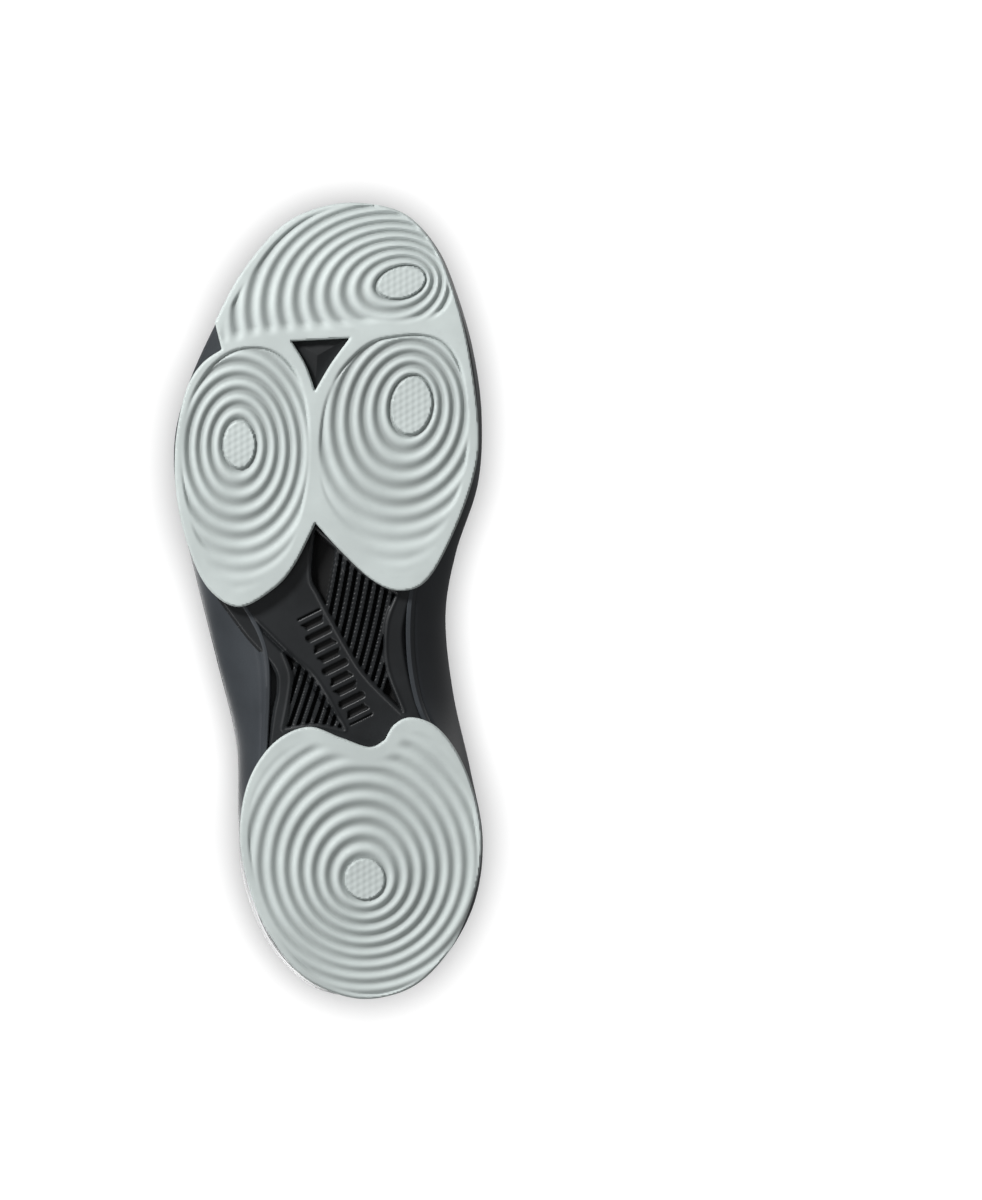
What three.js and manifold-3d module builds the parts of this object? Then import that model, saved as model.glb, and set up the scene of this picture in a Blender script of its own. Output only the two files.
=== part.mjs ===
// A right-foot court shoe, modelled as the separate pieces that it is assembled from.
// Millimetres. +Z is up, +Y points to the toe and +X to the lateral (outer) side of the foot.
// The origin is on the ground, under the middle of the shoe's bounding box.
import * as THREE from "three";
import { mergeVertices } from "three/addons/utils/BufferGeometryUtils.js";
import Module from "manifold-3d";

const wasm = await Module();
wasm.setup();

// ---- Driving dimensions ----
const HALF_LENGTH = 150; // half the outsole's length, heel to toe
const CENTRE_X = 0.37; // moves the sole's outline so that the whole shoe is centred on X
const CENTRE_Y = -0.33; // the same along Y
const GAP = 0.3; // clearance between pieces that are stitched or cemented face to face
const TREAD = 4.5; // thickness of the rubber outsole
const BOARD = 1.5; // thickness of the lasting board
const SOCKLINER = 4.5; // thickness of the drop-in sockliner
const SHANK = 4.2; // thickness of the midfoot plate
const SHELL = 1.4; // thickness of the upper's outer fabric
const LINING = 0.8; // thickness of the lining
const FLEX_Y = 74; // where the sole bends, under the ball of the foot
const FLEX_Z = 9; // height of the bend's axis, inside the midsole
const FLEX_ANGLE = 20; // how far the forefoot bends up, in degrees
const EYELET_PAIRS = 6;
const LACE_RADIUS = 1.35;
const RIB = 1.7; // width of one rib in the midfoot plate's windows
const WEB = 1.2; // thickness of the plate above its windows

// ---- Smooth curves through a few chosen points ----

// A Catmull-Rom spline through rows of numbers, at position u counted in rows.
function spline(rows, u, closed) {
  const n = rows.length;
  const row = (i) => (closed ? rows[((i % n) + n) % n] : rows[Math.min(n - 1, Math.max(0, i))]);
  const i = Math.floor(u);
  const f = u - i;
  const [a, b, c, d] = [row(i - 1), row(i), row(i + 1), row(i + 2)];
  return b.map((at, k) => {
    const slope = c[k] - a[k];
    const bend = 2 * a[k] - 5 * at + 4 * c[k] - d[k];
    const twist = 3 * at - a[k] - 3 * c[k] + d[k];
    return at + 0.5 * f * (slope + f * (bend + f * twist));
  });
}

// Heights along the shoe, one every 50 mm from the heel's end to the toe's end.
const FOOTBED = [27, 26, 24.5, 20.5, 16, 17, 25];
const RIM = [35, 33.5, 32, 28.5, 24.5, 25.5, 33];

function heightAt(table, y) {
  const u = (y + HALF_LENGTH) / 50;
  const knots = table.map((z) => [z]);
  return spline(knots, Math.min(table.length - 1.001, Math.max(0, u)), false)[0];
}

// How far the sole's underside rises off the ground: the toe spring and the bevel at the heel.
function lift(y) {
  const toe = Math.max(0, (y - 92) / 58);
  const heel = Math.max(0, (-134 - y) / 16);
  return 10 * toe * toe + 2 * heel * heel;
}

// The sole's outline seen from above, from the back of the heel along the lateral side to the toe
// (row 15) and back along the medial side.
const SOLE_EDGE = [
  [-12.5, -150],
  [6, -144.5],
  [21.5, -129],
  [31, -106],
  [34.2, -82],
  [35.5, -54],
  [43, -22],
  [50.5, 8],
  [56.5, 36],
  [57.8, 60],
  [52.5, 82],
  [43, 104.5],
  [32.8, 124.3],
  [19.2, 140.6],
  [2, 149.2],
  [-14, 150.5],
  [-29.8, 146],
  [-41.6, 133],
  [-49, 115.5],
  [-55, 94],
  [-58.2, 70],
  [-56.8, 44],
  [-48.5, 18],
  [-44.6, -6],
  [-47.5, -35],
  [-54, -64],
  [-58.6, -90],
  [-55.5, -114],
  [-44.5, -134.5],
  [-29, -147],
].map(([x, y]) => [x + CENTRE_X, y + CENTRE_Y]);
const STATIONS = SOLE_EDGE.length;
const TOE = STATIONS / 2;

// How far the underside is narrower than the outline at the waist, one row for each station.
const WAIST_TUCK = [2, 2, 2, 3, 7, 16, 21, 12, 2, 1, 1, 1, 1, 1, 1, 1, 1, 1, 1, 1, 2, 4, 12, 16, 13, 6, 3, 2, 2, 2];

// The point at station u of the outline, moved inwards, and the outward direction there.
function edgePoint(u, inset = 0) {
  const [x, y] = spline(SOLE_EDGE, u, true);
  const [xa, ya] = spline(SOLE_EDGE, u - 0.02, true);
  const [xb, yb] = spline(SOLE_EDGE, u + 0.02, true);
  const length = Math.hypot(xb - xa, yb - ya);
  const out = [(yb - ya) / length, -(xb - xa) / length];
  return { x: x - out[0] * inset, y: y - out[1] * inset, out };
}

// ---- Solids ----

function solidOf(geometry) {
  const bare = geometry.clone();
  bare.deleteAttribute("normal");
  bare.deleteAttribute("uv");
  const merged = mergeVertices(bare, 1e-4);
  const triVerts = new Uint32Array(merged.index.array);
  const vertProperties = merged.attributes.position.array;
  return new wasm.Manifold(new wasm.Mesh({ numProp: 3, vertProperties, triVerts }));
}

function geometryOf(solid) {
  const mesh = solid.getMesh();
  const geometry = new THREE.BufferGeometry();
  geometry.setAttribute("position", new THREE.BufferAttribute(new Float32Array(mesh.vertProperties), 3));
  geometry.setIndex(new THREE.BufferAttribute(new Uint32Array(mesh.triVerts), 1));
  const flat = geometry.toNonIndexed();
  flat.computeVertexNormals();
  return flat;
}

function solidFrom(points, triangles) {
  const geometry = new THREE.BufferGeometry();
  geometry.setAttribute("position", new THREE.BufferAttribute(new Float32Array(points.flat()), 3));
  geometry.setIndex(triangles);
  return solidOf(geometry);
}

// A body made of closed rings of points, from the lowest ring to the last, with both ends filled
// by strips that run across the shoe from the lateral side to the medial side.
function stack(rings) {
  const n = rings[0].length;
  const points = rings.flat();
  const triangles = [];
  const quad = (a, b, c, d) => triangles.push(a, b, c, a, c, d);
  rings.slice(1).forEach((_, r) => {
    for (let i = 0; i < n; i++) {
      const j = (i + 1) % n;
      quad(r * n + i, r * n + j, (r + 1) * n + j, (r + 1) * n + i);
    }
  });
  const last = (rings.length - 1) * n;
  for (let i = 0; i < n / 2; i++) {
    const [a, b, c, d] = [i, i + 1, (n - i - 1) % n, (n - i) % n];
    if (b !== c) triangles.push(a, c, b, last + a, last + b, last + c);
    if (d !== a) triangles.push(a, d, c, last + a, last + c, last + d);
  }
  return solidFrom(points, triangles);
}

const SOLE_STEPS = 60; // points around the sole's outline

// One ring around the sole: inset and z are functions of the station and of y.
function ring(inset, z) {
  return Array.from({ length: SOLE_STEPS }, (_, i) => {
    const u = (i * STATIONS) / SOLE_STEPS;
    const p = edgePoint(u, inset(u));
    return [p.x, p.y, z(p.y)];
  });
}

// A sheet that follows the sole, between two heights.
function soleLayer(inset, low, high) {
  return stack([ring(() => inset, low), ring(() => inset, high)]);
}

// A prism standing along Z, from an outline in X and Y.
function uprightPrism(shape, low, high) {
  const geometry = new THREE.ExtrudeGeometry(shape, { depth: high - low, bevelEnabled: false, curveSegments: 2 });
  return solidOf(geometry.translate(0, 0, low));
}

// A prism lying along X, from an outline in Y and Z.
function crossPrism(points) {
  const shape = new THREE.Shape(points.map(([y, z]) => new THREE.Vector2(y, z)));
  const geometry = new THREE.ExtrudeGeometry(shape, { depth: 200, bevelEnabled: false });
  geometry.applyMatrix4(new THREE.Matrix4().makeBasis(
    new THREE.Vector3(0, 1, 0),
    new THREE.Vector3(0, 0, 1),
    new THREE.Vector3(1, 0, 0),
  ));
  return solidOf(geometry.translate(-100, 0, 0));
}

// Runs of points, each run smooth and each join between runs a corner, as a closed outline.
function outline(runs) {
  const place = ([x, y]) => new THREE.Vector2(x + CENTRE_X, y + CENTRE_Y);
  const shape = new THREE.Shape();
  shape.moveTo(...place(runs[0][0]));
  runs.forEach((run) => {
    if (run.length === 2) shape.lineTo(...place(run[1]));
    else shape.splineThru(run.slice(1).map(place));
  });
  return shape;
}

// ---- The bend at the ball of the foot ----
// The front solids end on an upright plane through the bend's axis, and the rear solids above the
// axis end on a plane that leans back, so the wedge between them closes as the toe comes up.

const FAR = 300;
const lean = Math.tan(THREE.MathUtils.degToRad(FLEX_ANGLE + 0.6));
const aheadOfBend = crossPrism([
  [FLEX_Y + GAP / 2, -50],
  [FAR, -50],
  [FAR, FAR],
  [FLEX_Y + GAP / 2, FAR],
]);
const behindBend = crossPrism([
  [-FAR, -50],
  [FLEX_Y - GAP / 2, -50],
  [FLEX_Y - GAP / 2, FLEX_Z],
  [FLEX_Y - GAP / 2 - (FAR - FLEX_Z) * lean, FAR],
  [-FAR, FAR],
]);
const front = (solid) => solid.intersect(aheadOfBend);
const rear = (solid) => solid.intersect(behindBend);

// ---- Sole unit ----

const forefootTread = outline([
  [[4.6, 29.2], [12.5, 13.5], [20.5, 4.4], [33.5, -2.3], [45, 4.8], [52.5, 20.5], [56.9, 40], [57.2, 60],
    [53.3, 79], [47.5, 89], [39.9, 94.5]],
  [[39.9, 94.5], [42.5, 104.8]],
  [[42.5, 104.8], [32.6, 123.4], [18, 140.8], [3, 148.4], [-13, 150], [-29.3, 145.6], [-40.7, 132.7],
    [-47.4, 116.2], [-53, 94.5], [-56.7, 66], [-55.2, 48], [-47.5, 26], [-37.5, 8], [-27.2, 3.8], [-17, 7.6],
    [-4.4, 19.2], [4.6, 29.2]],
]);
const treadWindow = outline([
  [[13.6, 97.6], [-8.3, 98.9]],
  [[-8.3, 98.9], [-1.2, 89.2], [4.8, 79]],
  [[4.8, 79], [8.2, 88.6], [13.6, 97.6]],
]);
const heelTread = outline([
  [[-21.5, -52.2], [-15.6, -55], [-5, -51.5], [7.5, -47.4], [20.2, -53.3], [29.5, -67], [33, -85], [31, -103],
    [24, -122], [11.3, -139.6], [-4, -148], [-18.4, -149.5], [-34, -143.8], [-47, -129.5], [-55, -110.5],
    [-57.9, -92], [-55.7, -74.9], [-49.5, -58.5], [-41, -47.5], [-31.5, -43.8], [-25, -46.5], [-21.5, -52.2]],
]);
const shankPlate = outline([
  [[4.6, 36], [24, 10], [44, 4]],
  [[44, 4], [31.2, -13.4], [20.9, -25], [19.3, -33], [21, -43], [23, -57]],
  [[23, -57], [-10, -60], [-40, -55]],
  [[-40, -55], [-32.7, -35.2], [-28.8, -16], [-30, -4], [-34, 9]],
  [[-34, 9], [-16, 14], [4.6, 36]],
]);
// The recess for the plate, open at both sides of the waist.
const shankPocket = outline([
  [[4.6, 37], [25, 11], [49, 6]],
  [[49, 6], [36, -11], [26, -25], [24.5, -33], [26, -43], [28, -58]],
  [[28, -58], [-10, -61], [-45, -56]],
  [[-45, -56], [-38, -36], [-34, -16], [-35, -4], [-39, 10]],
  [[-39, 10], [-17, 15], [4.6, 37]],
]);
const medialWindow = outline([
  [[5, 27], [-5, 17.6], [-14, 9.4], [-25.6, 2.6]],
  [[-25.6, 2.6], [-21.6, -9], [-21.9, -25], [-28, -41.6]],
  [[-28, -41.6], [-15.3, -28.9], [-8.1, -18.4], [3.1, 2], [6.3, 10], [5, 27]],
]);
const lateralWindow = outline([
  [[16.2, -19.6], [13.4, -28], [14.4, -38], [16.4, -48]],
  [[16.4, -48], [5, -46.4], [-6, -48.4]],
  [[-6, -48.4], [1.7, -34.5], [7.3, -26.7], [16.2, -19.6]],
]);

const treadUnderside = (y) => lift(y);
const treadTop = (y) => lift(y) + TREAD;
const midsoleUnderside = (y) => lift(y) + TREAD + GAP;
const shankLow = TREAD + GAP;
const shankHigh = shankLow + SHANK;

function treadPiece(shape) {
  return soleLayer(0.9, treadUnderside, treadTop).intersect(uprightPrism(shape, -1, 40));
}

const forefootRubber = treadPiece(forefootTread).subtract(uprightPrism(treadWindow, -1, 40));

// The ribs that cross a window of the midfoot plate, all leaning the same way. Their ends and
// their roots are sunk into the plate.
function ribs(window, first, last, count) {
  const low = shankLow + 1.2;
  const high = shankHigh - WEB / 2;
  const slant = 14; // how far a rib's heel end lies towards the lateral side of its toe end
  const bars = Array.from({ length: count }, (_, i) => {
    const x = first + ((last - first) * i) / (count - 1);
    const bar = new THREE.Shape([
      new THREE.Vector2(x, 34),
      new THREE.Vector2(x + slant, -62),
      new THREE.Vector2(x + slant + RIB, -62),
      new THREE.Vector2(x + RIB, 34),
    ]);
    return uprightPrism(bar, low, high);
  });
  const opening = uprightPrism(window, low - 1, high + 1);
  const reach = [[0.8, 0], [-0.8, 0], [0, 0.8], [0, -0.8]]
    .map(([x, y]) => opening.translate(x, y, 0))
    .reduce((all, moved) => all.add(moved));
  return bars.reduce((all, bar) => all.add(bar)).intersect(reach);
}

// The plate is open to the ground in two windows, each closed above by a thin web.
function midfootPlate() {
  return uprightPrism(shankPlate, shankLow, shankHigh)
    .subtract(uprightPrism(medialWindow, 0, shankHigh - WEB))
    .subtract(uprightPrism(lateralWindow, 0, shankHigh - WEB))
    .add(ribs(medialWindow, -26, -3, 8))
    .add(ribs(lateralWindow, -5, 5, 5));
}

const tuck = (share) => (u) => 0.6 + share * spline(WAIST_TUCK.map((t) => [t]), u, true)[0];

// The midsole is a cup: a foam block with a rim that stands up around the footbed.
function midsole() {
  const block = stack([
    ring(tuck(1), midsoleUnderside),
    ring(tuck(0.45), (y) => midsoleUnderside(y) + 6),
    ring(tuck(0), (y) => heightAt(RIM, y) - 6),
    ring(() => 0.9, (y) => heightAt(RIM, y)),
    ring(() => 3.6, (y) => heightAt(RIM, y)),
    ring(() => 5.2, (y) => heightAt(FOOTBED, y)),
  ]);
  return block.subtract(uprightPrism(shankPocket, -1, shankHigh + GAP));
}

const boardLow = (y) => heightAt(FOOTBED, y) + GAP;
const boardHigh = (y) => boardLow(y) + BOARD;
const sockLow = (y) => boardHigh(y) + GAP;
const sockHigh = (y) => sockLow(y) + SOCKLINER;
const foam = midsole();
const board = soleLayer(6.2, boardLow, boardHigh);
const sockliner = soleLayer(12.4, sockLow, sockHigh);
const SOCK_HINGE_Y = 67; // the sockliner bends here when its heel is lifted
const behindSockHinge = crossPrism([[-FAR, -50], [SOCK_HINGE_Y, -50], [SOCK_HINGE_Y, FAR], [-FAR, FAR]]);

// ---- Upper: one smooth surface from the sole's edge to the collar and throat ----

// The collar and throat edge: half-width, y and z from the heel's back (row 0) to the middle of
// the throat's base (row 15). The same rows serve both sides.
const OPENING = [
  [0, -138.5, 100],
  [12.5, -135, 98],
  [23.5, -122, 90],
  [29.5, -103, 82],
  [31.5, -82, 78.5],
  [29.5, -57, 86],
  [24, -33, 106],
  [17.5, -12, 97],
  [13.5, 10, 87],
  [12, 27, 78.5],
  [10, 39.5, 72],
  [7, 46.5, 68.6],
  [4.6, 49.4, 67.2],
  [2.9, 50.5, 66.7],
  [1.4, 51, 66.5],
  [0, 51, 66.4],
];
// How the surface leaves the sole (up, out) and how it arrives at the opening (in, up).
const SWEEP = [
  [45, 12, -8, 60],
  [45, 12, -7, 58],
  [45, 13, -2, 52],
  [45, 14, 4, 45],
  [42, 14, 8, 40],
  [42, 14, 16, 44],
  [45, 13, 45, 42],
  [48, 12, 55, 30],
  [46, 11, 60, 28],
  [42, 10, 68, 28],
  [38, 10, 80, 30],
  [38, 10, 90, 32],
  [42, 10, 95, 33],
  [46, 10, 98, 34],
  [50, 10, 100, 35],
  [52, 10, 100, 36],
];
const UPPER_INSET = 6; // from the sole's outline to the upper's lower edge

// The middle of the foot drifts to the medial side at the heel.
function middleX(y) {
  const back = Math.min(1, Math.max(0, (-20 - y) / 110));
  return CENTRE_X - 1 - 11.5 * back;
}

// A point of the upper at station u and height share v, from 0 at the sole to 1 at the opening.
function upperPoint(u, v) {
  const turn = ((u % STATIONS) + STATIONS) % STATIONS;
  const side = turn <= TOE ? 1 : -1;
  const row = side > 0 ? turn : STATIONS - turn;
  const mirrored = (rows, i) => {
    const all = [...rows, ...rows.slice(1, -1).reverse()];
    return spline(all, i, true);
  };
  const [, y1, z1] = mirrored(OPENING, row);
  const signed = [...OPENING, ...OPENING.slice(1, -1).reverse().map(([w, y, z]) => [-w, y, z])];
  const half = spline(signed, turn, true)[0];
  const [up, out, inward, rise] = mirrored(SWEEP, row);
  const foot = edgePoint(turn, UPPER_INSET);
  const base = [foot.x, foot.y, boardHigh(foot.y) + GAP];
  const edge = [middleX(y1) + half, y1 + CENTRE_Y, z1];
  const run = Math.hypot(edge[0] - base[0], edge[1] - base[1]);
  const across = [(edge[0] - base[0]) / run, (edge[1] - base[1]) / run];
  const leave = [foot.out[0] * out, foot.out[1] * out, up];
  const arrive = [across[0] * inward, across[1] * inward, rise];
  const v2 = v * v;
  const v3 = v2 * v;
  return base.map((b, k) => (
    b * (2 * v3 - 3 * v2 + 1) + leave[k] * (v3 - 2 * v2 + v)
    + edge[k] * (3 * v2 - 2 * v3) + arrive[k] * (v3 - v2)
  ));
}

function upperNormal(u, v) {
  const step = 0.01;
  const p = (a, b) => new THREE.Vector3(...upperPoint(a, b));
  const along = p(u + step, v).sub(p(u - step, v));
  const up = p(u, Math.min(1, v + step)).sub(p(u, Math.max(0, v - step)));
  return along.cross(up).normalize();
}

// The point at a distance outside (or, if negative, inside) the upper's surface.
function offsetPoint(u, v, distance) {
  const n = upperNormal(u, v);
  return upperPoint(u, v).map((x, k) => x + n.getComponent(k) * distance);
}

const UPPER_ROWS = 6; // rows of facets from the sole to the opening
const UPPER_STEP = 0.75; // stations from one column of facets to the next

// A sheet of the upper between stations u0 and u1 and height shares v0 and v1. Each face lies at
// a distance from the surface that may vary with u and v.
function panel(u0, u1, v0, v1, outer, inner) {
  const stops = (low, high, step) => {
    const inside = [];
    for (let s = Math.ceil(low / step + 0.2) * step; s < high - 0.2 * step; s += step) inside.push(s);
    return [low, ...inside, high];
  };
  const us = stops(u0, u1, UPPER_STEP);
  const vs = stops(v0, v1, 1 / UPPER_ROWS);
  const at = (distance) => us.flatMap((u) => vs.map((v) => (
    offsetPoint(u, v, typeof distance === "function" ? distance(u, v) : distance)
  )));
  const points = [...at(outer), ...at(inner)];
  const rows = vs.length;
  const o = (i, j) => i * rows + j;
  const n = (i, j) => us.length * rows + i * rows + j;
  const triangles = [];
  const quad = (a, b, c, d) => triangles.push(a, b, c, a, c, d);
  const lastU = us.length - 1;
  const lastV = rows - 1;
  for (let i = 0; i < lastU; i++) {
    for (let j = 0; j < lastV; j++) {
      quad(o(i, j), o(i + 1, j), o(i + 1, j + 1), o(i, j + 1));
      quad(n(i, j), n(i, j + 1), n(i + 1, j + 1), n(i + 1, j));
    }
    quad(n(i, 0), n(i + 1, 0), o(i + 1, 0), o(i, 0));
    quad(n(i, lastV), o(i, lastV), o(i + 1, lastV), n(i + 1, lastV));
  }
  for (let j = 0; j < lastV; j++) {
    quad(n(0, j), o(0, j), o(0, j + 1), n(0, j + 1));
    quad(n(lastU, j), n(lastU, j + 1), o(lastU, j + 1), o(lastU, j));
  }
  return solidFrom(points, triangles);
}

// The padding behind the collar swells towards its rim and dies out ahead of the ankle.
function collarPad(u, v) {
  const turn = Math.min(Math.abs(u), Math.abs(u - STATIONS));
  const along = Math.min(1, Math.max(0, (5.25 - turn) / 1.5));
  const up = Math.min(1, Math.max(0, (v - 0.5) * 3));
  const down = Math.min(1, Math.max(0, (1 - v) * 6));
  return 6 * along * up * down;
}

const OVERLAY = 0.5; // clearance under the pieces laid over the outer fabric
const STIFFENER = 1.3; // thickness of the hidden toe puff and heel counter
const behindShell = -SHELL - GAP;
const liningOuter = (u, v) => behindShell - STIFFENER - GAP - collarPad(u, v);
const liningInner = (u, v) => liningOuter(u, v) - LINING;
const HEEL = STATIONS; // the heel's back, counted on past the medial side

const outerShell = {
  lateral: rear(panel(0.02, TOE - 0.7, 0, 1, 0, -SHELL)),
  medial: rear(panel(TOE + 0.7, HEEL - 0.02, 0, 1, 0, -SHELL)),
  vamp: front(panel(8, 22, 0, 1, 0, -SHELL)),
};
const innerShell = {
  rear: rear(panel(TOE + 0.7, HEEL + TOE - 0.7, 0, 1, liningOuter, liningInner)),
  front: front(panel(8, 22, 0, 1, liningOuter, liningInner)),
};

// ---- Eyelets and lace ----

const EYELET_V = 0.9;
const EYELET_SPAN = [6.35, 10.25]; // stations of the top and the lowest eyelet

// Stations of the eyelets on the lateral side, evenly spaced along the throat, lowest first.
function eyeletStations() {
  const fine = 200;
  const [top, low] = EYELET_SPAN;
  const us = Array.from({ length: fine + 1 }, (_, i) => low + ((top - low) * i) / fine);
  const far = [0];
  us.slice(1).forEach((u, i) => {
    const a = new THREE.Vector3(...upperPoint(us[i], EYELET_V));
    far.push(far[i] + a.distanceTo(new THREE.Vector3(...upperPoint(u, EYELET_V))));
  });
  return Array.from({ length: EYELET_PAIRS }, (_, k) => {
    const wanted = (far[fine] * k) / (EYELET_PAIRS - 1);
    return us[far.findIndex((d) => d >= wanted - 1e-9)];
  });
}

const eyelets = eyeletStations().map((u) => ({ lateral: u, medial: STATIONS - u }));

function eyeletFrame(u) {
  const normal = upperNormal(u, EYELET_V);
  const turn = new THREE.Quaternion().setFromUnitVectors(new THREE.Vector3(0, 1, 0), normal);
  return new THREE.Matrix4().compose(
    new THREE.Vector3(...upperPoint(u, EYELET_V)),
    turn,
    new THREE.Vector3(1, 1, 1),
  );
}

const EYESTAY = 1.2; // thickness of the eyestay laid over the quarter
const EYELET_BORE = 2.4;
const EYELET_BARREL = 3.1;
const EYELET_FLANGE = 4.3;
const EYELET_SIDES = 6;
const barrelFoot = -(SHELL + 2 * GAP + STIFFENER + LINING + 0.7);

function eyelet(u) {
  const seat = EYESTAY + 2.5 * GAP;
  const profile = [
    [EYELET_BORE, barrelFoot],
    [EYELET_BARREL, barrelFoot],
    [EYELET_BARREL, seat],
    [EYELET_FLANGE, seat],
    [EYELET_FLANGE, seat + 0.8],
    [EYELET_BORE, seat + 0.8],
    [EYELET_BORE, barrelFoot],
  ].map(([r, h]) => new THREE.Vector2(r, h));
  return solidOf(new THREE.LatheGeometry(profile, EYELET_SIDES).applyMatrix4(eyeletFrame(u)));
}

function eyeletHole(u) {
  const hole = new THREE.CylinderGeometry(EYELET_BARREL + 0.5, EYELET_BARREL + 0.5, 16, EYELET_SIDES);
  return solidOf(hole.applyMatrix4(eyeletFrame(u)));
}

const allHoles = eyelets
  .flatMap(({ lateral, medial }) => [eyeletHole(lateral), eyeletHole(medial)])
  .reduce((all, hole) => all.add(hole));

function eyestay(u0, u1) {
  return rear(panel(u0, u1, 0.79, 1, EYESTAY + GAP, GAP)).subtract(allHoles);
}

const laceTop = EYESTAY + 3.5 * GAP + 0.8 + LACE_RADIUS;
const laceUnder = barrelFoot - LACE_RADIUS - 0.8;

// A point over the throat, at a share of the way from one eyelet to another, raised.
function overThroat(a, b, share, raise) {
  const from = new THREE.Vector3(...offsetPoint(a, EYELET_V, laceTop));
  const to = new THREE.Vector3(...offsetPoint(b, EYELET_V, laceTop));
  return from.lerp(to, share).add(new THREE.Vector3(0, 0, raise));
}

// The lace's way through an eyelet, from the inside to the outside.
function throughEyelet(u) {
  return [laceUnder + 1.2, (laceUnder + laceTop) / 2, laceTop - 1.2].map((distance) => (
    new THREE.Vector3(...offsetPoint(u, EYELET_V, distance))
  ));
}

// One half of the lace, from the middle of the lowest bar up through every eyelet to its end
// inside the shoe. The two halves cross over the tongue, one above the other in turn.
function laceHalf(startSide) {
  const other = { lateral: "medial", medial: "lateral" };
  const first = eyelets[0][startSide];
  const route = [
    overThroat(eyelets[0].lateral, eyelets[0].medial, 0.5, 0),
    new THREE.Vector3(...offsetPoint(first, EYELET_V + 0.07, laceTop)),
    ...throughEyelet(first).reverse(),
  ];
  let side = startSide;
  for (let k = 1; k < EYELET_PAIRS; k++) {
    const from = eyelets[k - 1][side];
    const to = eyelets[k][other[side]];
    const above = (side === "lateral") === (k % 2 === 0);
    const last = k === EYELET_PAIRS - 1;
    if (k === 1) route.push(new THREE.Vector3(...offsetPoint(from, 1, laceUnder)));
    else route.push(new THREE.Vector3(...offsetPoint(from, EYELET_V + 0.07, laceTop + 0.4)));
    route.push(overThroat(from, to, 0.5, above ? 1.7 : -1.7));
    if (last) {
      route.push(new THREE.Vector3(...offsetPoint(to, EYELET_V + 0.07, laceTop + 0.4)));
      route.push(...throughEyelet(to).reverse());
      const step = other[side] === "lateral" ? 1 : -1;
      [0.1, 0.2, 0.3].forEach((drop) => {
        route.push(new THREE.Vector3(...offsetPoint(to + step * drop * 2, EYELET_V - drop, laceUnder)));
      });
    } else {
      route.push(new THREE.Vector3(...offsetPoint(to, 1, laceUnder)));
      route.push(...throughEyelet(to));
    }
    side = other[side];
  }
  return route;
}

function tube(curve, radius, sides, steps) {
  const section = new THREE.Shape();
  for (let i = 0; i < sides; i++) {
    const a = (2 * Math.PI * i) / sides;
    if (i === 0) section.moveTo(radius * Math.cos(a), radius * Math.sin(a));
    else section.lineTo(radius * Math.cos(a), radius * Math.sin(a));
  }
  return solidOf(new THREE.ExtrudeGeometry(section, { steps, extrudePath: curve, bevelEnabled: false }));
}

const lateralHalf = laceHalf("lateral");
const medialHalf = laceHalf("medial");
const AGLET = 14; // length of the moulded tip
const laceRoute = [...lateralHalf.slice(1).reverse(), ...medialHalf];
const lacePath = new THREE.CatmullRomCurve3(laceRoute);
const LACE_STEPS = 210;

// A lace tip continues straight on from an end of the lace.
function aglet(end, before) {
  const way = end.clone().sub(before).normalize();
  const turn = new THREE.Quaternion().setFromUnitVectors(new THREE.Vector3(0, 1, 0), way);
  const middle = end.clone().add(way.multiplyScalar(AGLET / 2 + GAP));
  const body = new THREE.CylinderGeometry(LACE_RADIUS * 0.85, LACE_RADIUS * 0.85, AGLET, 8);
  return solidOf(body.applyMatrix4(new THREE.Matrix4().compose(middle, turn, new THREE.Vector3(1, 1, 1))));
}

// ---- Tongue ----

// Down the middle of the tongue's outer face, from its sewn end: y, z, half-width and thickness.
const TONGUE = [
  [53, 58, 12, 3],
  [40, 63, 15, 3.6],
  [27, 69.5, 17, 4.2],
  [10, 77.5, 18.5, 4.8],
  [-10, 87, 19.5, 5.2],
  [-25, 95.5, 20, 6],
  [-35, 104, 20, 7],
  [-42, 114, 20.5, 7.4],
  [-46, 122, 17, 5],
];
const TONGUE_FOLD = 6; // the row of TONGUE where its free top folds forward
const TONGUE_ACROSS = 8; // facets across the tongue

function tongueSection(s) {
  const [y, z, half, thick] = spline(TONGUE, s, false);
  const before = spline(TONGUE, Math.max(0, s - 0.05), false);
  const after = spline(TONGUE, Math.min(TONGUE.length - 1, s + 0.05), false);
  const run = Math.hypot(after[0] - before[0], after[1] - before[1]);
  const normal = [(after[1] - before[1]) / run, -(after[0] - before[0]) / run];
  const centre = middleX(-20) + 0;
  const loop = [];
  for (let i = 0; i <= TONGUE_ACROSS; i++) {
    const x = half * (1 - (2 * i) / TONGUE_ACROSS);
    const drop = 0.0155 * x * x;
    loop.push([centre + x, y + CENTRE_Y - normal[0] * drop, z - normal[1] * drop]);
  }
  for (let i = TONGUE_ACROSS; i >= 0; i--) {
    const x = half * (1 - (2 * i) / TONGUE_ACROSS);
    const edge = 1 - 0.55 * (x / half) ** 2;
    const drop = 0.0155 * x * x + thick * edge;
    loop.push([centre + x, y + CENTRE_Y - normal[0] * drop, z - normal[1] * drop]);
  }
  return loop;
}

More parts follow.
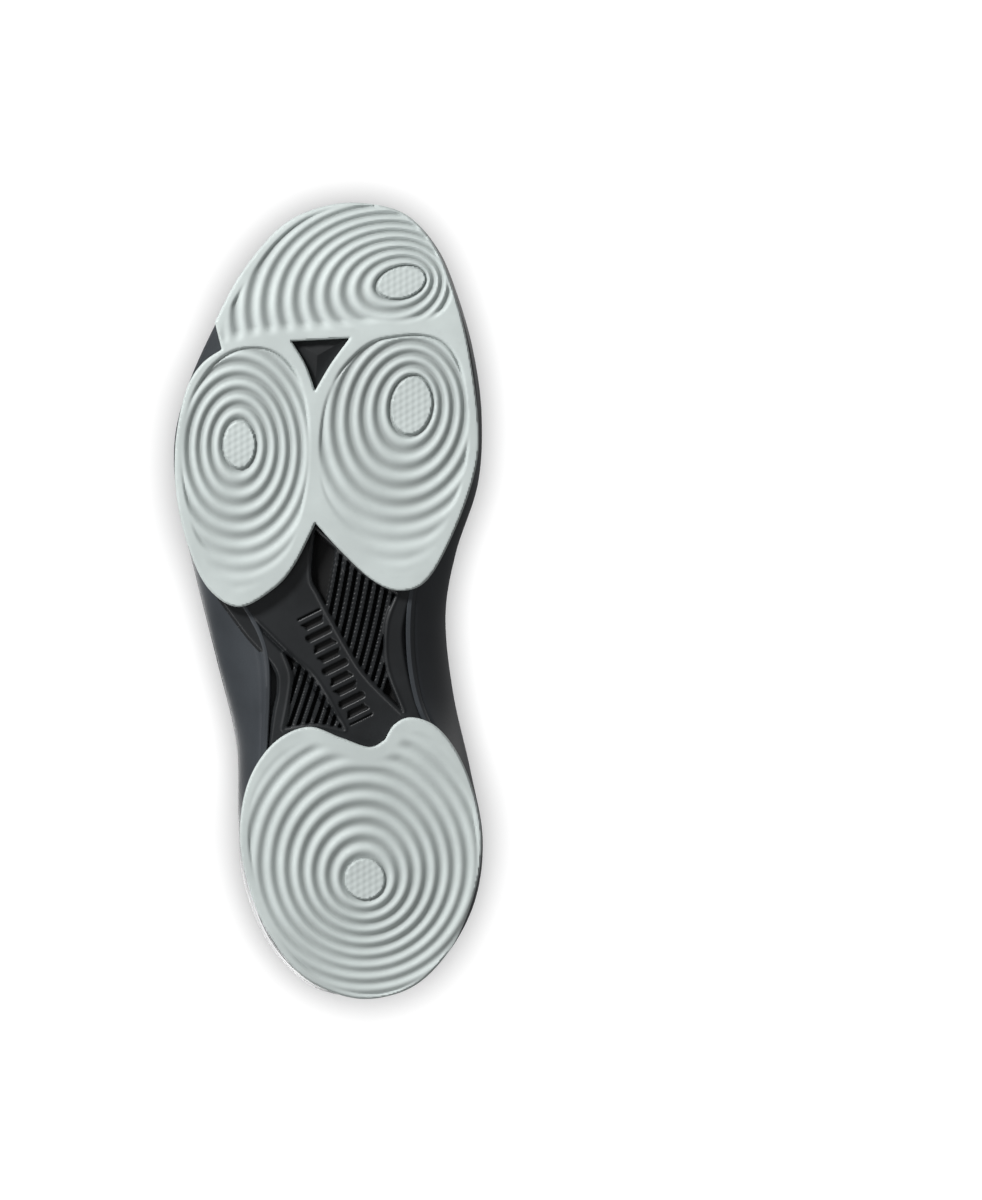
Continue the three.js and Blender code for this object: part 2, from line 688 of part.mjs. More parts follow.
// The tongue between two rows of its table.
function tongue(from, to, steps) {
  const sections = Array.from({ length: steps + 1 }, (_, i) => tongueSection(from + ((to - from) * i) / steps));
  const n = sections[0].length;
  const triangles = [];
  for (let r = 0; r < steps; r++) {
    for (let i = 0; i < n; i++) {
      const j = (i + 1) % n;
      triangles.push(r * n + i, r * n + j, (r + 1) * n + j, r * n + i, (r + 1) * n + j, (r + 1) * n + i);
    }
  }
  const end = steps * n;
  for (let i = 0; i < n / 2 - 1; i++) {
    const [a, b, c, d] = [i, i + 1, n - 2 - i, n - 1 - i];
    triangles.push(a, c, b, a, d, c);
    triangles.push(end + a, end + b, end + c, end + a, end + c, end + d);
  }
  return solidFrom(sections.flat(), triangles);
}

// ---- Heel tab ----

const TAB_WIDTH = 15;
const TAB_LOW = 88;
const TAB_HIGH = 113;
const TAB_THICK = 2.2;
const TAB_BACK = -143.6;

function heelTab() {
  const round = TAB_WIDTH / 2 - 2;
  const shape = new THREE.Shape();
  shape.moveTo(-TAB_WIDTH / 2, TAB_LOW);
  shape.lineTo(TAB_WIDTH / 2, TAB_LOW);
  shape.lineTo(TAB_WIDTH / 2, TAB_HIGH - round);
  shape.absarc(TAB_WIDTH / 2 - round, TAB_HIGH - round, round, 0, Math.PI / 2);
  shape.absarc(-TAB_WIDTH / 2 + round, TAB_HIGH - round, round, Math.PI / 2, Math.PI);
  const slab = new THREE.ExtrudeGeometry(shape, { depth: TAB_THICK, bevelEnabled: false, curveSegments: 4 });
  slab.rotateX(Math.PI / 2);
  return solidOf(slab.translate(middleX(-140), TAB_BACK + TAB_THICK, 0));
}

// ---- Finishes ----

const finish = {
  rubber: new THREE.MeshStandardMaterial({ color: 0xc4ceca, roughness: 0.62, metalness: 0 }),
  foam: new THREE.MeshStandardMaterial({ color: 0x24272a, roughness: 0.6, metalness: 0 }),
  plate: new THREE.MeshStandardMaterial({ color: 0x2a2d2f, roughness: 0.38, metalness: 0 }),
  board: new THREE.MeshStandardMaterial({ color: 0xb9b6ab, roughness: 0.95, metalness: 0 }),
  knit: new THREE.MeshStandardMaterial({ color: 0x1f2225, roughness: 0.9, metalness: 0 }),
  film: new THREE.MeshStandardMaterial({ color: 0x383c41, roughness: 0.42, metalness: 0 }),
  lining: new THREE.MeshStandardMaterial({ color: 0x17191b, roughness: 0.95, metalness: 0 }),
  lace: new THREE.MeshStandardMaterial({ color: 0xaab3b0, roughness: 0.85, metalness: 0 }),
  trim: new THREE.MeshStandardMaterial({ color: 0x3a3f43, roughness: 0.3, metalness: 0.2 }),
};

// ---- Assembly ----

const shoe = new THREE.Group();

function add(name, solid, material) {
  const mesh = new THREE.Mesh(geometryOf(solid), finish[material]);
  mesh.name = name;
  shoe.add(mesh);
}

add("outsole_toe", front(forefootRubber), "rubber");
add("outsole_ball", rear(forefootRubber), "rubber");
add("outsole_heel", treadPiece(heelTread), "rubber");
add("shank_plate", midfootPlate(), "plate");
add("midsole_front", front(foam), "foam");
add("midsole_rear", rear(foam), "foam");
add("lasting_board_front", front(board), "board");
add("lasting_board_rear", rear(board), "board");
add("sockliner_front", front(sockliner), "lining");
add("sockliner_rear", sockliner.intersect(behindSockHinge), "lining");

add("vamp", outerShell.vamp, "knit");
add("quarter_lateral", outerShell.lateral.subtract(allHoles), "knit");
add("quarter_medial", outerShell.medial.subtract(allHoles), "knit");
add("lining_toe", innerShell.front, "lining");
add("lining_quarters", innerShell.rear.subtract(allHoles), "lining");
add("toe_puff", front(panel(12, 18, 1 / 6, 1 / 2, behindShell, behindShell - STIFFENER)), "board");
add("heel_counter", panel(HEEL - 3, HEEL + 3, 1 / 6, 1 / 2, behindShell, behindShell - STIFFENER), "board");
add(
  "collar_padding",
  panel(HEEL - 4.5, HEEL + 4.5, 2 / 3, 11 / 12, behindShell, (u, v) => liningOuter(u, v) + 4 * GAP),
  "foam",
);

add("toe_guard", panel(11, 19, 0.13, 0.36, OVERLAY + 1.4, OVERLAY), "film");
add("side_wing_lateral", panel(4.5, 7.5, 0.17, 0.62, OVERLAY + 1.3, OVERLAY), "plate");
add("side_wing_medial", panel(22.5, 25.5, 0.17, 0.62, OVERLAY + 1.3, OVERLAY), "plate");
add("heel_clip", panel(HEEL - 2.7, HEEL + 2.7, 0.16, 0.56, OVERLAY + 2, OVERLAY), "plate");
add("eyestay_lateral", eyestay(6.05, 12.4), "film");
add("eyestay_medial", eyestay(17.6, 23.95), "film");

eyelets.forEach(({ lateral, medial }, k) => {
  add(`eyelet_lateral_${k + 1}`, eyelet(lateral), "trim");
  add(`eyelet_medial_${k + 1}`, eyelet(medial), "trim");
});

add("lace", tube(lacePath, LACE_RADIUS, 6, LACE_STEPS), "lace");
add("aglet_lateral", aglet(laceRoute[0], laceRoute[1]), "trim");
add("aglet_medial", aglet(laceRoute.at(-1), laceRoute.at(-2)), "trim");
add("tongue", tongue(0, TONGUE_FOLD - 0.02, 9), "knit");
add("tongue_top", tongue(TONGUE_FOLD + 0.02, TONGUE.length - 1, 4), "knit");
add("heel_tab", heelTab(), "trim");

export default shoe;
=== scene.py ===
"""Builds the looks of a right-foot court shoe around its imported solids.

Every length in a shape function is in millimetres in the shoe's own frame: +X to the lateral side,
+Y to the toe, +Z up, with the origin on the ground. Meshes are scaled to metres when they are made.
"""

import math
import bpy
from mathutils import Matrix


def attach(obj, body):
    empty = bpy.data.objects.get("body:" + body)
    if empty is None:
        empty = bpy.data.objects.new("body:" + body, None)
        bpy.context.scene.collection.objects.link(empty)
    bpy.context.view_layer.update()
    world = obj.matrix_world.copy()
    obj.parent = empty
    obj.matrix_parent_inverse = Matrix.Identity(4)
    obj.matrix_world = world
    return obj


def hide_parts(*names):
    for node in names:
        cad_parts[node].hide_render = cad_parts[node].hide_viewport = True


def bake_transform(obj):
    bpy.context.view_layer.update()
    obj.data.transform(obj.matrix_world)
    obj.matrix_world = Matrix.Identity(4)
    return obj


bl_info = {
    "name": "Court shoe",
    "version": (1, 0, 0),
    "blender": (4, 5, 0),
    "location": "3D View > Sidebar > Court shoe",
    "description": "Builds a court shoe's treads, midsole, upper, lace and studio",
    "category": "Add Mesh",
}

import bpy
import numpy as np
from bpy.props import FloatProperty, FloatVectorProperty, PointerProperty
from mathutils import Vector
from mathutils.kdtree import KDTree

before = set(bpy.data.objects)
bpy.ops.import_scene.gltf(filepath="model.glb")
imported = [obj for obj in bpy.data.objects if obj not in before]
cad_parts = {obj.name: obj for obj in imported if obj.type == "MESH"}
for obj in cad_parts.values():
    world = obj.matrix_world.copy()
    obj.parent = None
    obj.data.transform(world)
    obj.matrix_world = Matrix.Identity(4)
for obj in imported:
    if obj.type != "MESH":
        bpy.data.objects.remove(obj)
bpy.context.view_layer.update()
MM = 0.001

# ---- The shoe's driving sizes, as the solids have them ----

CENTRE = np.array([0.37, -0.33])  # moves the outlines so that the shoe is centred
TREAD = 4.5  # thickness of the rubber
GAP = 0.3
PLATE_LOW = TREAD + GAP
PLATE_HIGH = PLATE_LOW + 4.2
STATIONS = 30  # points round the sole's outline, counted from the middle of the heel
TOE = 15  # the station at the tip of the toe
UPPER_INSET = 6.0
FOOTBED = [27, 26, 24.5, 20.5, 16, 17, 25]  # its height every 50 mm from the heel to the toe
RIM = [35, 33.5, 32, 28.5, 24.5, 25.5, 33]  # the midsole's upper edge, at the same places
SHELL = 1.4  # thickness of the upper's knit
STIFFENER = 1.3
LINING = 0.8
EYESTAY = 1.2
EYESTAY_ENDS = (6.05, 23.95)  # stations
SEAM = (8.25, 1.6)  # the vamp's seam: its station at the opening, and how many stations it sweeps
EYELET_V = 0.9  # the eyelets' height share on the upper
EYELET_PAIRS = 6
EYELET_SPAN = (6.35, 10.25)  # stations of the highest and the lowest
EYELET_HOLE = 2.9
LACE_RADIUS = 1.35
LACE_STEP = 0.42  # spacing of the rings along the lace's mesh
BRAID = 1.15  # how fast the braid turns, in radians per millimetre
HEEL_Y = -140  # where along Y the pull tab finds the middle of the heel
TONGUE_Y = -20  # the tongue is centred on the foot's middle here
TONGUE_ARCH = 0.0155  # how fast the tongue's sides drop, per millimetre squared
LASTING_BOARD = 1.5

SOLE_EDGE = np.array([
    [-12.5, -150], [6.5, -146], [23, -129.5], [32.6, -106], [34.7, -82], [35.5, -54], [43, -22], [50.5, 8],
    [57, 36], [58.4, 60], [53, 82], [43, 104.5], [32.8, 124.3], [19.2, 140.6], [2, 149.2], [-14, 150.5],
    [-29.8, 146], [-41.6, 133], [-49, 115.5], [-55, 94], [-58.2, 70], [-56.8, 44], [-48.5, 18], [-44.6, -6],
    [-47.5, -35], [-54, -64], [-58.6, -90], [-55.5, -114], [-44.5, -134.5], [-29, -147],
]) + CENTRE

FOREFOOT_TREAD = [
    [[4.6, 29.2], [12.5, 13.5], [20.5, 4.4], [33.5, -2.3], [45, 4.8], [52.5, 20.5], [56.9, 40], [57.2, 60],
     [53.3, 79], [47.5, 89], [39.9, 94.5]],
    [[39.9, 94.5], [42.5, 104.8]],
    [[42.5, 104.8], [32.6, 123.4], [18, 140.8], [3, 148.4], [-13, 150], [-29.3, 145.6], [-40.7, 132.7],
     [-47.4, 116.2], [-53, 94.5], [-56.7, 66], [-55.2, 48], [-47.5, 26], [-37.5, 8], [-27.2, 3.8], [-17, 7.6],
     [-4.4, 19.2], [4.6, 29.2]],
]
TREAD_WINDOW = [
    [[13.6, 97.6], [-8.3, 98.9]],
    [[-8.3, 98.9], [-1.2, 89.2], [4.8, 79]],
    [[4.8, 79], [8.2, 88.6], [13.6, 97.6]],
]
HEEL_TREAD = [
    [[-21.5, -52.2], [-15.6, -55], [-5, -51.5], [7.5, -47.4], [20.2, -53.3], [29.5, -67], [33, -85],
     [31, -103], [24, -122], [11.3, -139.6], [-4, -148], [-18.4, -149.5], [-34, -143.8], [-47, -129.5],
     [-55, -110.5], [-57.9, -92], [-55.7, -74.9], [-49.5, -58.5], [-41, -47.5], [-31.5, -43.8],
     [-25, -46.5], [-21.5, -52.2]],
]
PLATE_EDGE = [
    [[4.6, 36], [24, 10], [44, 4]],
    [[44, 4], [31.2, -13.4], [20.9, -25], [19.3, -33], [21, -43], [23, -57]],
    [[23, -57], [-10, -60], [-40, -55]],
    [[-40, -55], [-32.7, -35.2], [-28.8, -16], [-30, -4], [-34, 9]],
    [[-34, 9], [-16, 14], [4.6, 36]],
]
MEDIAL_WINDOW = [
    [[5, 27], [-5, 17.6], [-14, 9.4], [-25.6, 2.6]],
    [[-25.6, 2.6], [-21.6, -9], [-21.9, -25], [-28, -41.6]],
    [[-28, -41.6], [-15.3, -28.9], [-8.1, -18.4], [3.1, 2], [6.3, 10], [5, 27]],
]
LATERAL_WINDOW = [
    [[16.2, -19.6], [13.4, -28], [14.4, -38], [16.4, -48]],
    [[16.4, -48], [5, -46.4], [-6, -48.4]],
    [[-6, -48.4], [1.7, -34.5], [7.3, -26.7], [16.2, -19.6]],
]

# The corners of the three-cornered boss that shows through the tread's window, and its peak.
BOSS = [
    [[15.2, 98.9], [-10.4, 100.4]],
    [[-10.4, 100.4], [4.9, 75.5]],
    [[4.9, 75.5], [15.2, 98.9]],
]
BOSS_PEAK = [4.0, 92.3]
# How far the midsole's bottom edge lies inside its widest outline, at each station.
BOTTOM_TUCK = [
    2, 2, 2, 3, 5.5, 11, 18.5, 10, 2, 1, 1, 1, 1, 1, 1, 1, 1, 1, 1, 1, 2, 4, 11, 13, 13, 5.5, 3, 2, 2, 2,
]

# Each field of ripples: its rings are nested ovals round a honeycombed centre. The half-widths grow
# and the centre drifts by a fixed step from ring to ring, and the ovals lean by some degrees. "fade"
# is how much shallower the outer rings are, and "first" says where the first crest lies, in rings.
# "over" is how far the ripples run past the field's border. "soft" widens that border by its first
# number, growing from its second to its third along Y. "ditch" is the depth round the centre.
RIPPLES = {
    "lateral": {
        "centre": (33.2, 58.8), "half": (5.8, 8.8), "grow": (4.25, 5.9), "drift": (0.0, -0.5), "lean": 0.0,
        "fade": 0.62, "first": 0.62, "over": 0.4, "soft": (5, 29, 4), "ditch": 1.25,
        "field": [
            [28, 95.5], [37, 93.5], [45.5, 86.5], [51.5, 76], [54.8, 62], [54.8, 48], [52.5, 34], [48, 20],
            [42.5, 9], [35, 2.3], [29, 4], [23.3, 8.4], [17.5, 14], [13, 22], [9.8, 33], [7.6, 45], [6.8, 58],
            [7.4, 71], [9.6, 81.5], [14, 89], [20, 93.8],
        ],
    },
    "medial": {
        "centre": (-31.5, 73.5), "half": (7.5, 10.8), "grow": (4.75, 5.65), "drift": (0.55, -1.15),
        "lean": 8.0, "fade": 0.62, "first": 0.45, "over": 0.4, "soft": (5, 44, 18), "ditch": 1.25,
        "field": [
            [-24, 99.5], [-35, 100.2], [-43.5, 97.5], [-49, 90.5], [-52.2, 79], [-53.2, 66], [-52.3, 53],
            [-49.2, 40], [-44.5, 28], [-38.5, 17], [-31, 10], [-23.5, 10], [-15.5, 14.6], [-8.5, 23],
            [-2.5, 32], [1.6, 41.5], [3.2, 52], [3, 63], [0.8, 75], [-4, 85.5], [-11, 93.5], [-17, 97.6],
        ],
    },
    "toe": {
        "centre": (-27.7, 119.8), "half": (9.1, 5.7), "grow": (4.6, 4.1), "drift": (1.4, -0.8), "lean": -15.0,
        "fade": 0.0, "first": 0.5, "over": 1.2, "soft": (3.5, 113, 103), "ditch": 1.25,
        "field": [
            [38.8, 97.5], [38.6, 105], [33.5, 114.5], [26.5, 125.5], [18.5, 135.5], [9, 143], [-2, 147.2],
            [-13, 148.6], [-24, 146.6], [-33, 140.6], [-39.6, 131.5], [-43.7, 121.5], [-46, 113.5],
            [-40.6, 107.3], [-30.3, 105], [-20, 105.2], [-11.4, 103.8], [4.1, 102.2], [16.2, 101.2],
            [28, 99.8],
        ],
    },
    "heel": {
        "centre": (-14.0, -104.6), "half": (7.5, 7.5), "grow": (5.1, 5.5), "drift": (0.0, 1.0), "lean": 0.0,
        "fade": 0.3, "first": 0.58, "over": 1.0, "soft": (4, -80, -62), "ditch": 0.95,
        "field": [
            [7.5, -53], [17, -57.3], [23.5, -64], [27.8, -73], [29.4, -84], [28.7, -96], [25.7, -109],
            [20.5, -121.4], [13, -133], [4, -141.4], [-6, -146.4], [-18.5, -147.9], [-30.5, -144.2],
            [-41.4, -135.8], [-49.2, -124.4], [-53.9, -111], [-56, -97], [-55.2, -83.5], [-52.2, -71],
            [-47, -60], [-41, -52.3], [-34.5, -49.4], [-29, -51], [-25, -56], [-20, -59.8], [-13, -60.3],
            [-5, -57.3], [1.5, -54.2],
        ],
    },
}

# The collar and throat edge: half-width, y and z from the heel to the middle of the throat's base.
OPENING = np.array([
    [0, -138.5, 100], [12.5, -135, 98], [23.5, -122, 90], [29.5, -103, 82], [31.5, -82, 78.5],
    [29.5, -57, 86], [24, -33, 106], [17.5, -12, 97], [13.5, 10, 87], [12, 27, 78.5], [10, 39.5, 72],
    [7, 46.5, 68.6], [4.6, 49.4, 67.2], [2.9, 50.5, 66.7], [1.4, 51, 66.5], [0, 51, 66.4],
])
# How the upper leaves the sole (up, out) and arrives at the opening (in, up).
SWEEP = np.array([
    [45, 12, -8, 60], [45, 12, -7, 58], [45, 13, -2, 52], [45, 14, 4, 45], [42, 14, 8, 40],
    [42, 14, 16, 44], [45, 13, 45, 42], [48, 12, 55, 30], [46, 11, 60, 28], [42, 10, 68, 28],
    [38, 10, 80, 30], [38, 10, 90, 32], [42, 10, 95, 33], [46, 10, 98, 34], [50, 10, 100, 35],
    [52, 10, 100, 36],
])
# Down the middle of the tongue's outer face: y, z, half-width and thickness.
TONGUE = [
    [53, 58, 12, 3], [40, 63, 15, 3.6], [27, 69.5, 17, 4.2], [10, 77.5, 18.5, 4.8], [-10, 87, 19.5, 5.2],
    [-25, 95.5, 20, 6], [-35, 104, 20, 7], [-42, 114, 20.5, 7.4], [-46, 122, 17, 5],
]


# ---- Curves ----


def spline(rows, at, closed=False):
    """A Catmull-Rom spline through rows of numbers, at positions counted in rows."""
    rows = np.asarray(rows, float)
    at = np.asarray(at, float)
    i = np.floor(at).astype(int)
    f = (at - i)[..., None] if rows.ndim > 1 else at - i
    n = len(rows)
    a, b, c, d = (rows[(i + k) % n] if closed else rows[np.clip(i + k, 0, n - 1)] for k in (-1, 0, 1, 2))
    return b + 0.5 * f * ((c - a) + f * ((2 * a - 5 * b + 4 * c - d) + f * (3 * b - a - 3 * c + d)))


def even(points, step, closed=True):
    """The same polyline with points a fixed distance apart."""
    points = np.asarray(points, float)
    if closed:
        points = np.vstack([points, points[:1]])
    far = distances(points)
    count = max(4, int(round(far[-1] / step)))
    at = np.linspace(0, far[-1], count + 1)
    if closed:
        at = at[:-1]
    return np.stack([np.interp(at, far, points[:, k]) for k in range(points.shape[1])], 1)


def outline(runs, step=1.0, shift=CENTRE):
    """A closed loop from runs of points: each run is smooth, and each join is a corner."""
    parts = []
    for run in runs:
        run = np.asarray(run, float)
        if len(run) == 2:
            fine = run[:1] + (run[1:] - run[:1]) * np.linspace(0, 1, 40)[:, None]
        else:
            fine = spline(run, np.linspace(0, len(run) - 1, 40 * (len(run) - 1)))
        length = np.linalg.norm(np.diff(fine, axis=0), axis=1).sum()
        count = max(2, int(length / step))
        parts.append(even(fine, length / count, False)[:-1])
    return np.vstack(parts) + shift


def smooth_loop(points, step=1.2):
    """A closed loop with no corners."""
    points = np.asarray(points, float)
    at = np.linspace(0, len(points), 24 * len(points), endpoint=False)
    return even(spline(points, at, True), step) + CENTRE


def height_at(table, y):
    """A height from a table that has one row every 50 mm along the shoe."""
    return spline(table, np.clip((np.asarray(y, float) + 150) / 50, 0, len(table) - 1.001))


def lift(y):
    """How far the sole's underside rises off the ground."""
    y = np.asarray(y, float)
    return 10 * np.maximum(0, (y - 92) / 58) ** 2 + 2 * np.maximum(0, (-134 - y) / 16) ** 2


def ease(t):
    """0 below 0, 1 above 1, and smooth between them."""
    t = np.clip(t, 0, 1)
    return t * t * (3 - 2 * t)


def edge_point(u, inset=0.0):
    """The point at station u of the sole's outline, moved inwards, and the outward direction."""
    u = np.asarray(u, float)
    way = spline(SOLE_EDGE, u + 0.02, True) - spline(SOLE_EDGE, u - 0.02, True)
    way /= np.linalg.norm(way, axis=-1, keepdims=True)
    out = np.stack([way[..., 1], -way[..., 0]], -1)
    return spline(SOLE_EDGE, u, True) - out * np.asarray(inset)[..., None], out


def inside(x, y, loop):
    """Which points lie inside a closed loop."""
    hit = np.zeros(x.shape, bool)
    x0, y0 = loop[-1]
    for x1, y1 in loop:
        if y1 != y0:
            hit ^= ((y0 > y) != (y1 > y)) & (x < (x1 - x0) * (y - y0) / (y1 - y0) + x0)
        x0, y0 = x1, y1
    return hit


def distances(line):
    """How far along a line each of its points lies."""
    return np.concatenate([[0], np.cumsum(np.linalg.norm(np.diff(line, axis=0), axis=1))])


def bump_at(value, middle, width):
    """A smooth bump: 1 where value is at the middle, and near 0 a few widths away."""
    return np.exp(-(((value - middle) / width) ** 2))


def nearest(x, y, loop):
    """The distance to a closed loop, and the nearest point on it."""
    best = np.full(x.shape, np.inf)
    near_x, near_y = np.zeros(x.shape), np.zeros(x.shape)
    for (x0, y0), (x1, y1) in zip(loop, np.roll(loop, -1, 0)):
        dx, dy = x1 - x0, y1 - y0
        t = np.clip(((x - x0) * dx + (y - y0) * dy) / max(dx * dx + dy * dy, 1e-12), 0, 1)
        px, py = x0 + t * dx, y0 + t * dy
        far = (x - px) ** 2 + (y - py) ** 2
        closer = far < best
        best = np.where(closer, far, best)
        near_x = np.where(closer, px, near_x)
        near_y = np.where(closer, py, near_y)
    return np.sqrt(best), near_x, near_y


def depth_inside(x, y, loop):
    """The distance inside a loop, negative outside it."""
    far = nearest(x, y, loop)[0]
    return np.where(inside(x, y, loop), far, -far)


# ---- Meshes ----


def new_mesh(name, points, faces):
    """A mesh from points in millimetres."""
    mesh = bpy.data.meshes.new(name)
    faces = faces if isinstance(faces, list) else faces.tolist()
    mesh.from_pydata((np.asarray(points, float) * MM).tolist(), [], faces)
    return mesh


def make_piece(name, points, faces, finish, attributes=None, crease=40):
    """A new mesh object from points in millimetres, with its finish."""
    mesh = new_mesh(name, points, faces)
    for key, values in (attributes or {}).items():
        values = np.asarray(values, np.float32)
        kind, field = ("FLOAT", "value") if values.ndim == 1 else ("FLOAT_VECTOR", "vector")
        mesh.attributes.new(key, kind, "POINT").data.foreach_set(field, values.ravel())
    mesh.polygons.foreach_set("use_smooth", np.ones(len(mesh.polygons), bool))
    mesh.update()
    mesh.set_sharp_from_angle(angle=math.radians(crease))
    mesh.materials.append(finish)
    piece = bpy.data.objects.new(name, mesh)
    bpy.context.scene.collection.objects.link(piece)
    return piece


def tube_faces(rings, around, inward=False):
    """Faces of a tube through rings of points, with a face over each end."""
    r, k = (g.ravel() for g in np.meshgrid(np.arange(rings - 1), np.arange(around), indexing="ij"))
    a, b = r * around, (r + 1) * around
    j = (k + 1) % around
    faces = np.stack([a + k, a + j, b + j, b + k], 1)
    if inward:
        faces = faces[:, ::-1]
    first, last = list(range(around)), [(rings - 1) * around + p for p in range(around)]
    ends = [first, last[::-1]] if inward else [first[::-1], last]
    return faces.tolist() + ends


def shell(outer, inner, keep=None, wrap=False):
    """Points and faces of a closed sheet between two grids of points.

    keep says which cells are there, and wrap joins the ends of the first axis. Returns also which
    points are used.
    """
    nu, nv = outer.shape[:2]
    cells = nu if wrap else nu - 1
    keep = np.ones((cells, nv - 1), bool) if keep is None else keep
    size = nu * nv

    def at(i, j):
        return (i % nu) * nv + j

    i, j = np.nonzero(keep)
    a, b, c, d = at(i, j), at(i + 1, j), at(i + 1, j + 1), at(i, j + 1)
    faces = [np.stack([a, b, c, d], 1), np.stack([d, c, b, a], 1) + size]
    before = np.roll(keep, 1, 0) if wrap else np.pad(keep, ((1, 0), (0, 0)))[:-1]
    after = np.roll(keep, -1, 0) if wrap else np.pad(keep, ((0, 1), (0, 0)))[1:]
    below = np.pad(keep, ((0, 0), (1, 0)))[:, :-1]
    above = np.pad(keep, ((0, 0), (0, 1)))[:, 1:]
    for neighbour, p, q in ((below, a, b), (after, b, c), (above, c, d), (before, d, a)):
        free = ~neighbour[i, j]
        p, q = p[free], q[free]
        faces.append(np.stack([q, p, p + size, q + size], 1))
    faces = np.concatenate(faces)
    used = np.zeros(2 * size, bool)
    used[faces.ravel()] = True
    index = np.cumsum(used) - 1
    points = np.concatenate([outer.reshape(-1, 3), inner.reshape(-1, 3)])
    return points[used], index[faces], used


def loft(rings):
    """Points and faces of a body through closed rings, with both ends closed by strips across."""
    rings = np.asarray(rings, float)
    m, n = rings.shape[:2]
    r, i = (g.ravel() for g in np.meshgrid(np.arange(m - 1), np.arange(n), indexing="ij"))
    j = (i + 1) % n
    faces = np.stack([r * n + i, r * n + j, (r + 1) * n + j, (r + 1) * n + i], 1).tolist()
    last = (m - 1) * n
    for k in range(n // 2):
        ring = [k, k + 1, (n - k - 1) % n, (n - k) % n]
        ring = list(dict.fromkeys(ring))
        faces.append(ring[::-1])
        faces.append([last + p for p in ring])
    return rings.reshape(-1, 3), faces


def relief(loops, step, underside, top):
    """Points and faces of a slab on a fine grid, bounded by loops (the outer one, then its holes).

    underside(x, y, far) and top(x, y, far) give its faces. far is the distance to the nearest loop.
    Returns also how many points the underside has: they come first, and the top has as many.
    """
    low, high = loops[0].min(0) - step, loops[0].max(0) + step
    nx, ny = (np.ceil((high - low) / step)).astype(int)
    middles = [low[k] + step * (np.arange(count) + 0.5) for k, count in enumerate((nx, ny))]
    cx, cy = np.meshgrid(*middles, indexing="ij")
    keep = inside(cx, cy, loops[0])
    for hole in loops[1:]:
        keep &= ~inside(cx, cy, hole)
    near = np.zeros((nx + 1, ny + 1), int)
    for dx in (0, 1):
        for dy in (0, 1):
            near[dx:nx + dx, dy:ny + dy] += keep
    used = near > 0
    index = np.full(near.shape, -1)
    index[used] = np.arange(used.sum())
    gx, gy = np.meshgrid(low[0] + step * np.arange(nx + 1), low[1] + step * np.arange(ny + 1), indexing="ij")
    x, y, rim = gx[used], gy[used], near[used] < 4
    far, px, py = nearest(x, y, loops[0])
    for hole in loops[1:]:
        far2, qx, qy = nearest(x, y, hole)
        closer = far2 < far
        far, px, py = np.where(closer, far2, far), np.where(closer, qx, px), np.where(closer, qy, py)
    x, y, far = np.where(rim, px, x), np.where(rim, py, y), np.where(rim, 0, far)
    count = len(x)
    points = np.concatenate([
        np.stack([x, y, underside(x, y, far)], 1),
        np.stack([x, y, top(x, y, far) + 0 * x], 1),
    ])
    i, j = np.nonzero(keep)
    a, b, c, d = index[i, j], index[i + 1, j], index[i + 1, j + 1], index[i, j + 1]
    faces = [np.stack([d, c, b, a], 1), np.stack([a, b, c, d], 1) + count]
    padded = np.pad(keep, 1)
    for di, dj, p, q in ((0, -1, a, b), (1, 0, b, c), (0, 1, c, d), (-1, 0, d, a)):
        open_side = ~padded[i + 1 + di, j + 1 + dj]
        p, q = p[open_side], q[open_side]
        faces.append(np.stack([p, q, q + count, p + count], 1))
    return points, np.concatenate(faces), count


# ---- Finishes ----


class Amount:
    """A number that changes over a surface, for use in expressions. Each operation adds a node."""

    def __init__(self, finish, socket):
        self.finish, self.socket = finish, socket

    def _math(self, operation, *values):
        return self.finish.amount("ShaderNodeMath", {"operation": operation}, dict(enumerate(values)))

    def __add__(self, other):
        return self._math("ADD", self, other)

    __radd__ = __add__

    def __sub__(self, other):
        return self._math("SUBTRACT", self, other)

    def __rsub__(self, other):
        return self._math("SUBTRACT", other, self)

    def __mul__(self, other):
        return self._math("MULTIPLY", self, other)

    __rmul__ = __mul__

    def __truediv__(self, other):
        return self._math("DIVIDE", self, other)

    def __pow__(self, other):
        return self._math("POWER", self, other)

    def __abs__(self):
        return self._math("ABSOLUTE", self)

    def sine(self):
        return self._math("SINE", self)

    def fraction(self):
        return self._math("FRACT", self)

    def above(self, low, high):
        """0 below low, 1 above high, and smooth between them."""
        return self.finish.amount(
            "ShaderNodeMapRange",
            {"interpolation_type": "SMOOTHSTEP"},
            {"Value": self, "From Min": low, "From Max": high},
        )


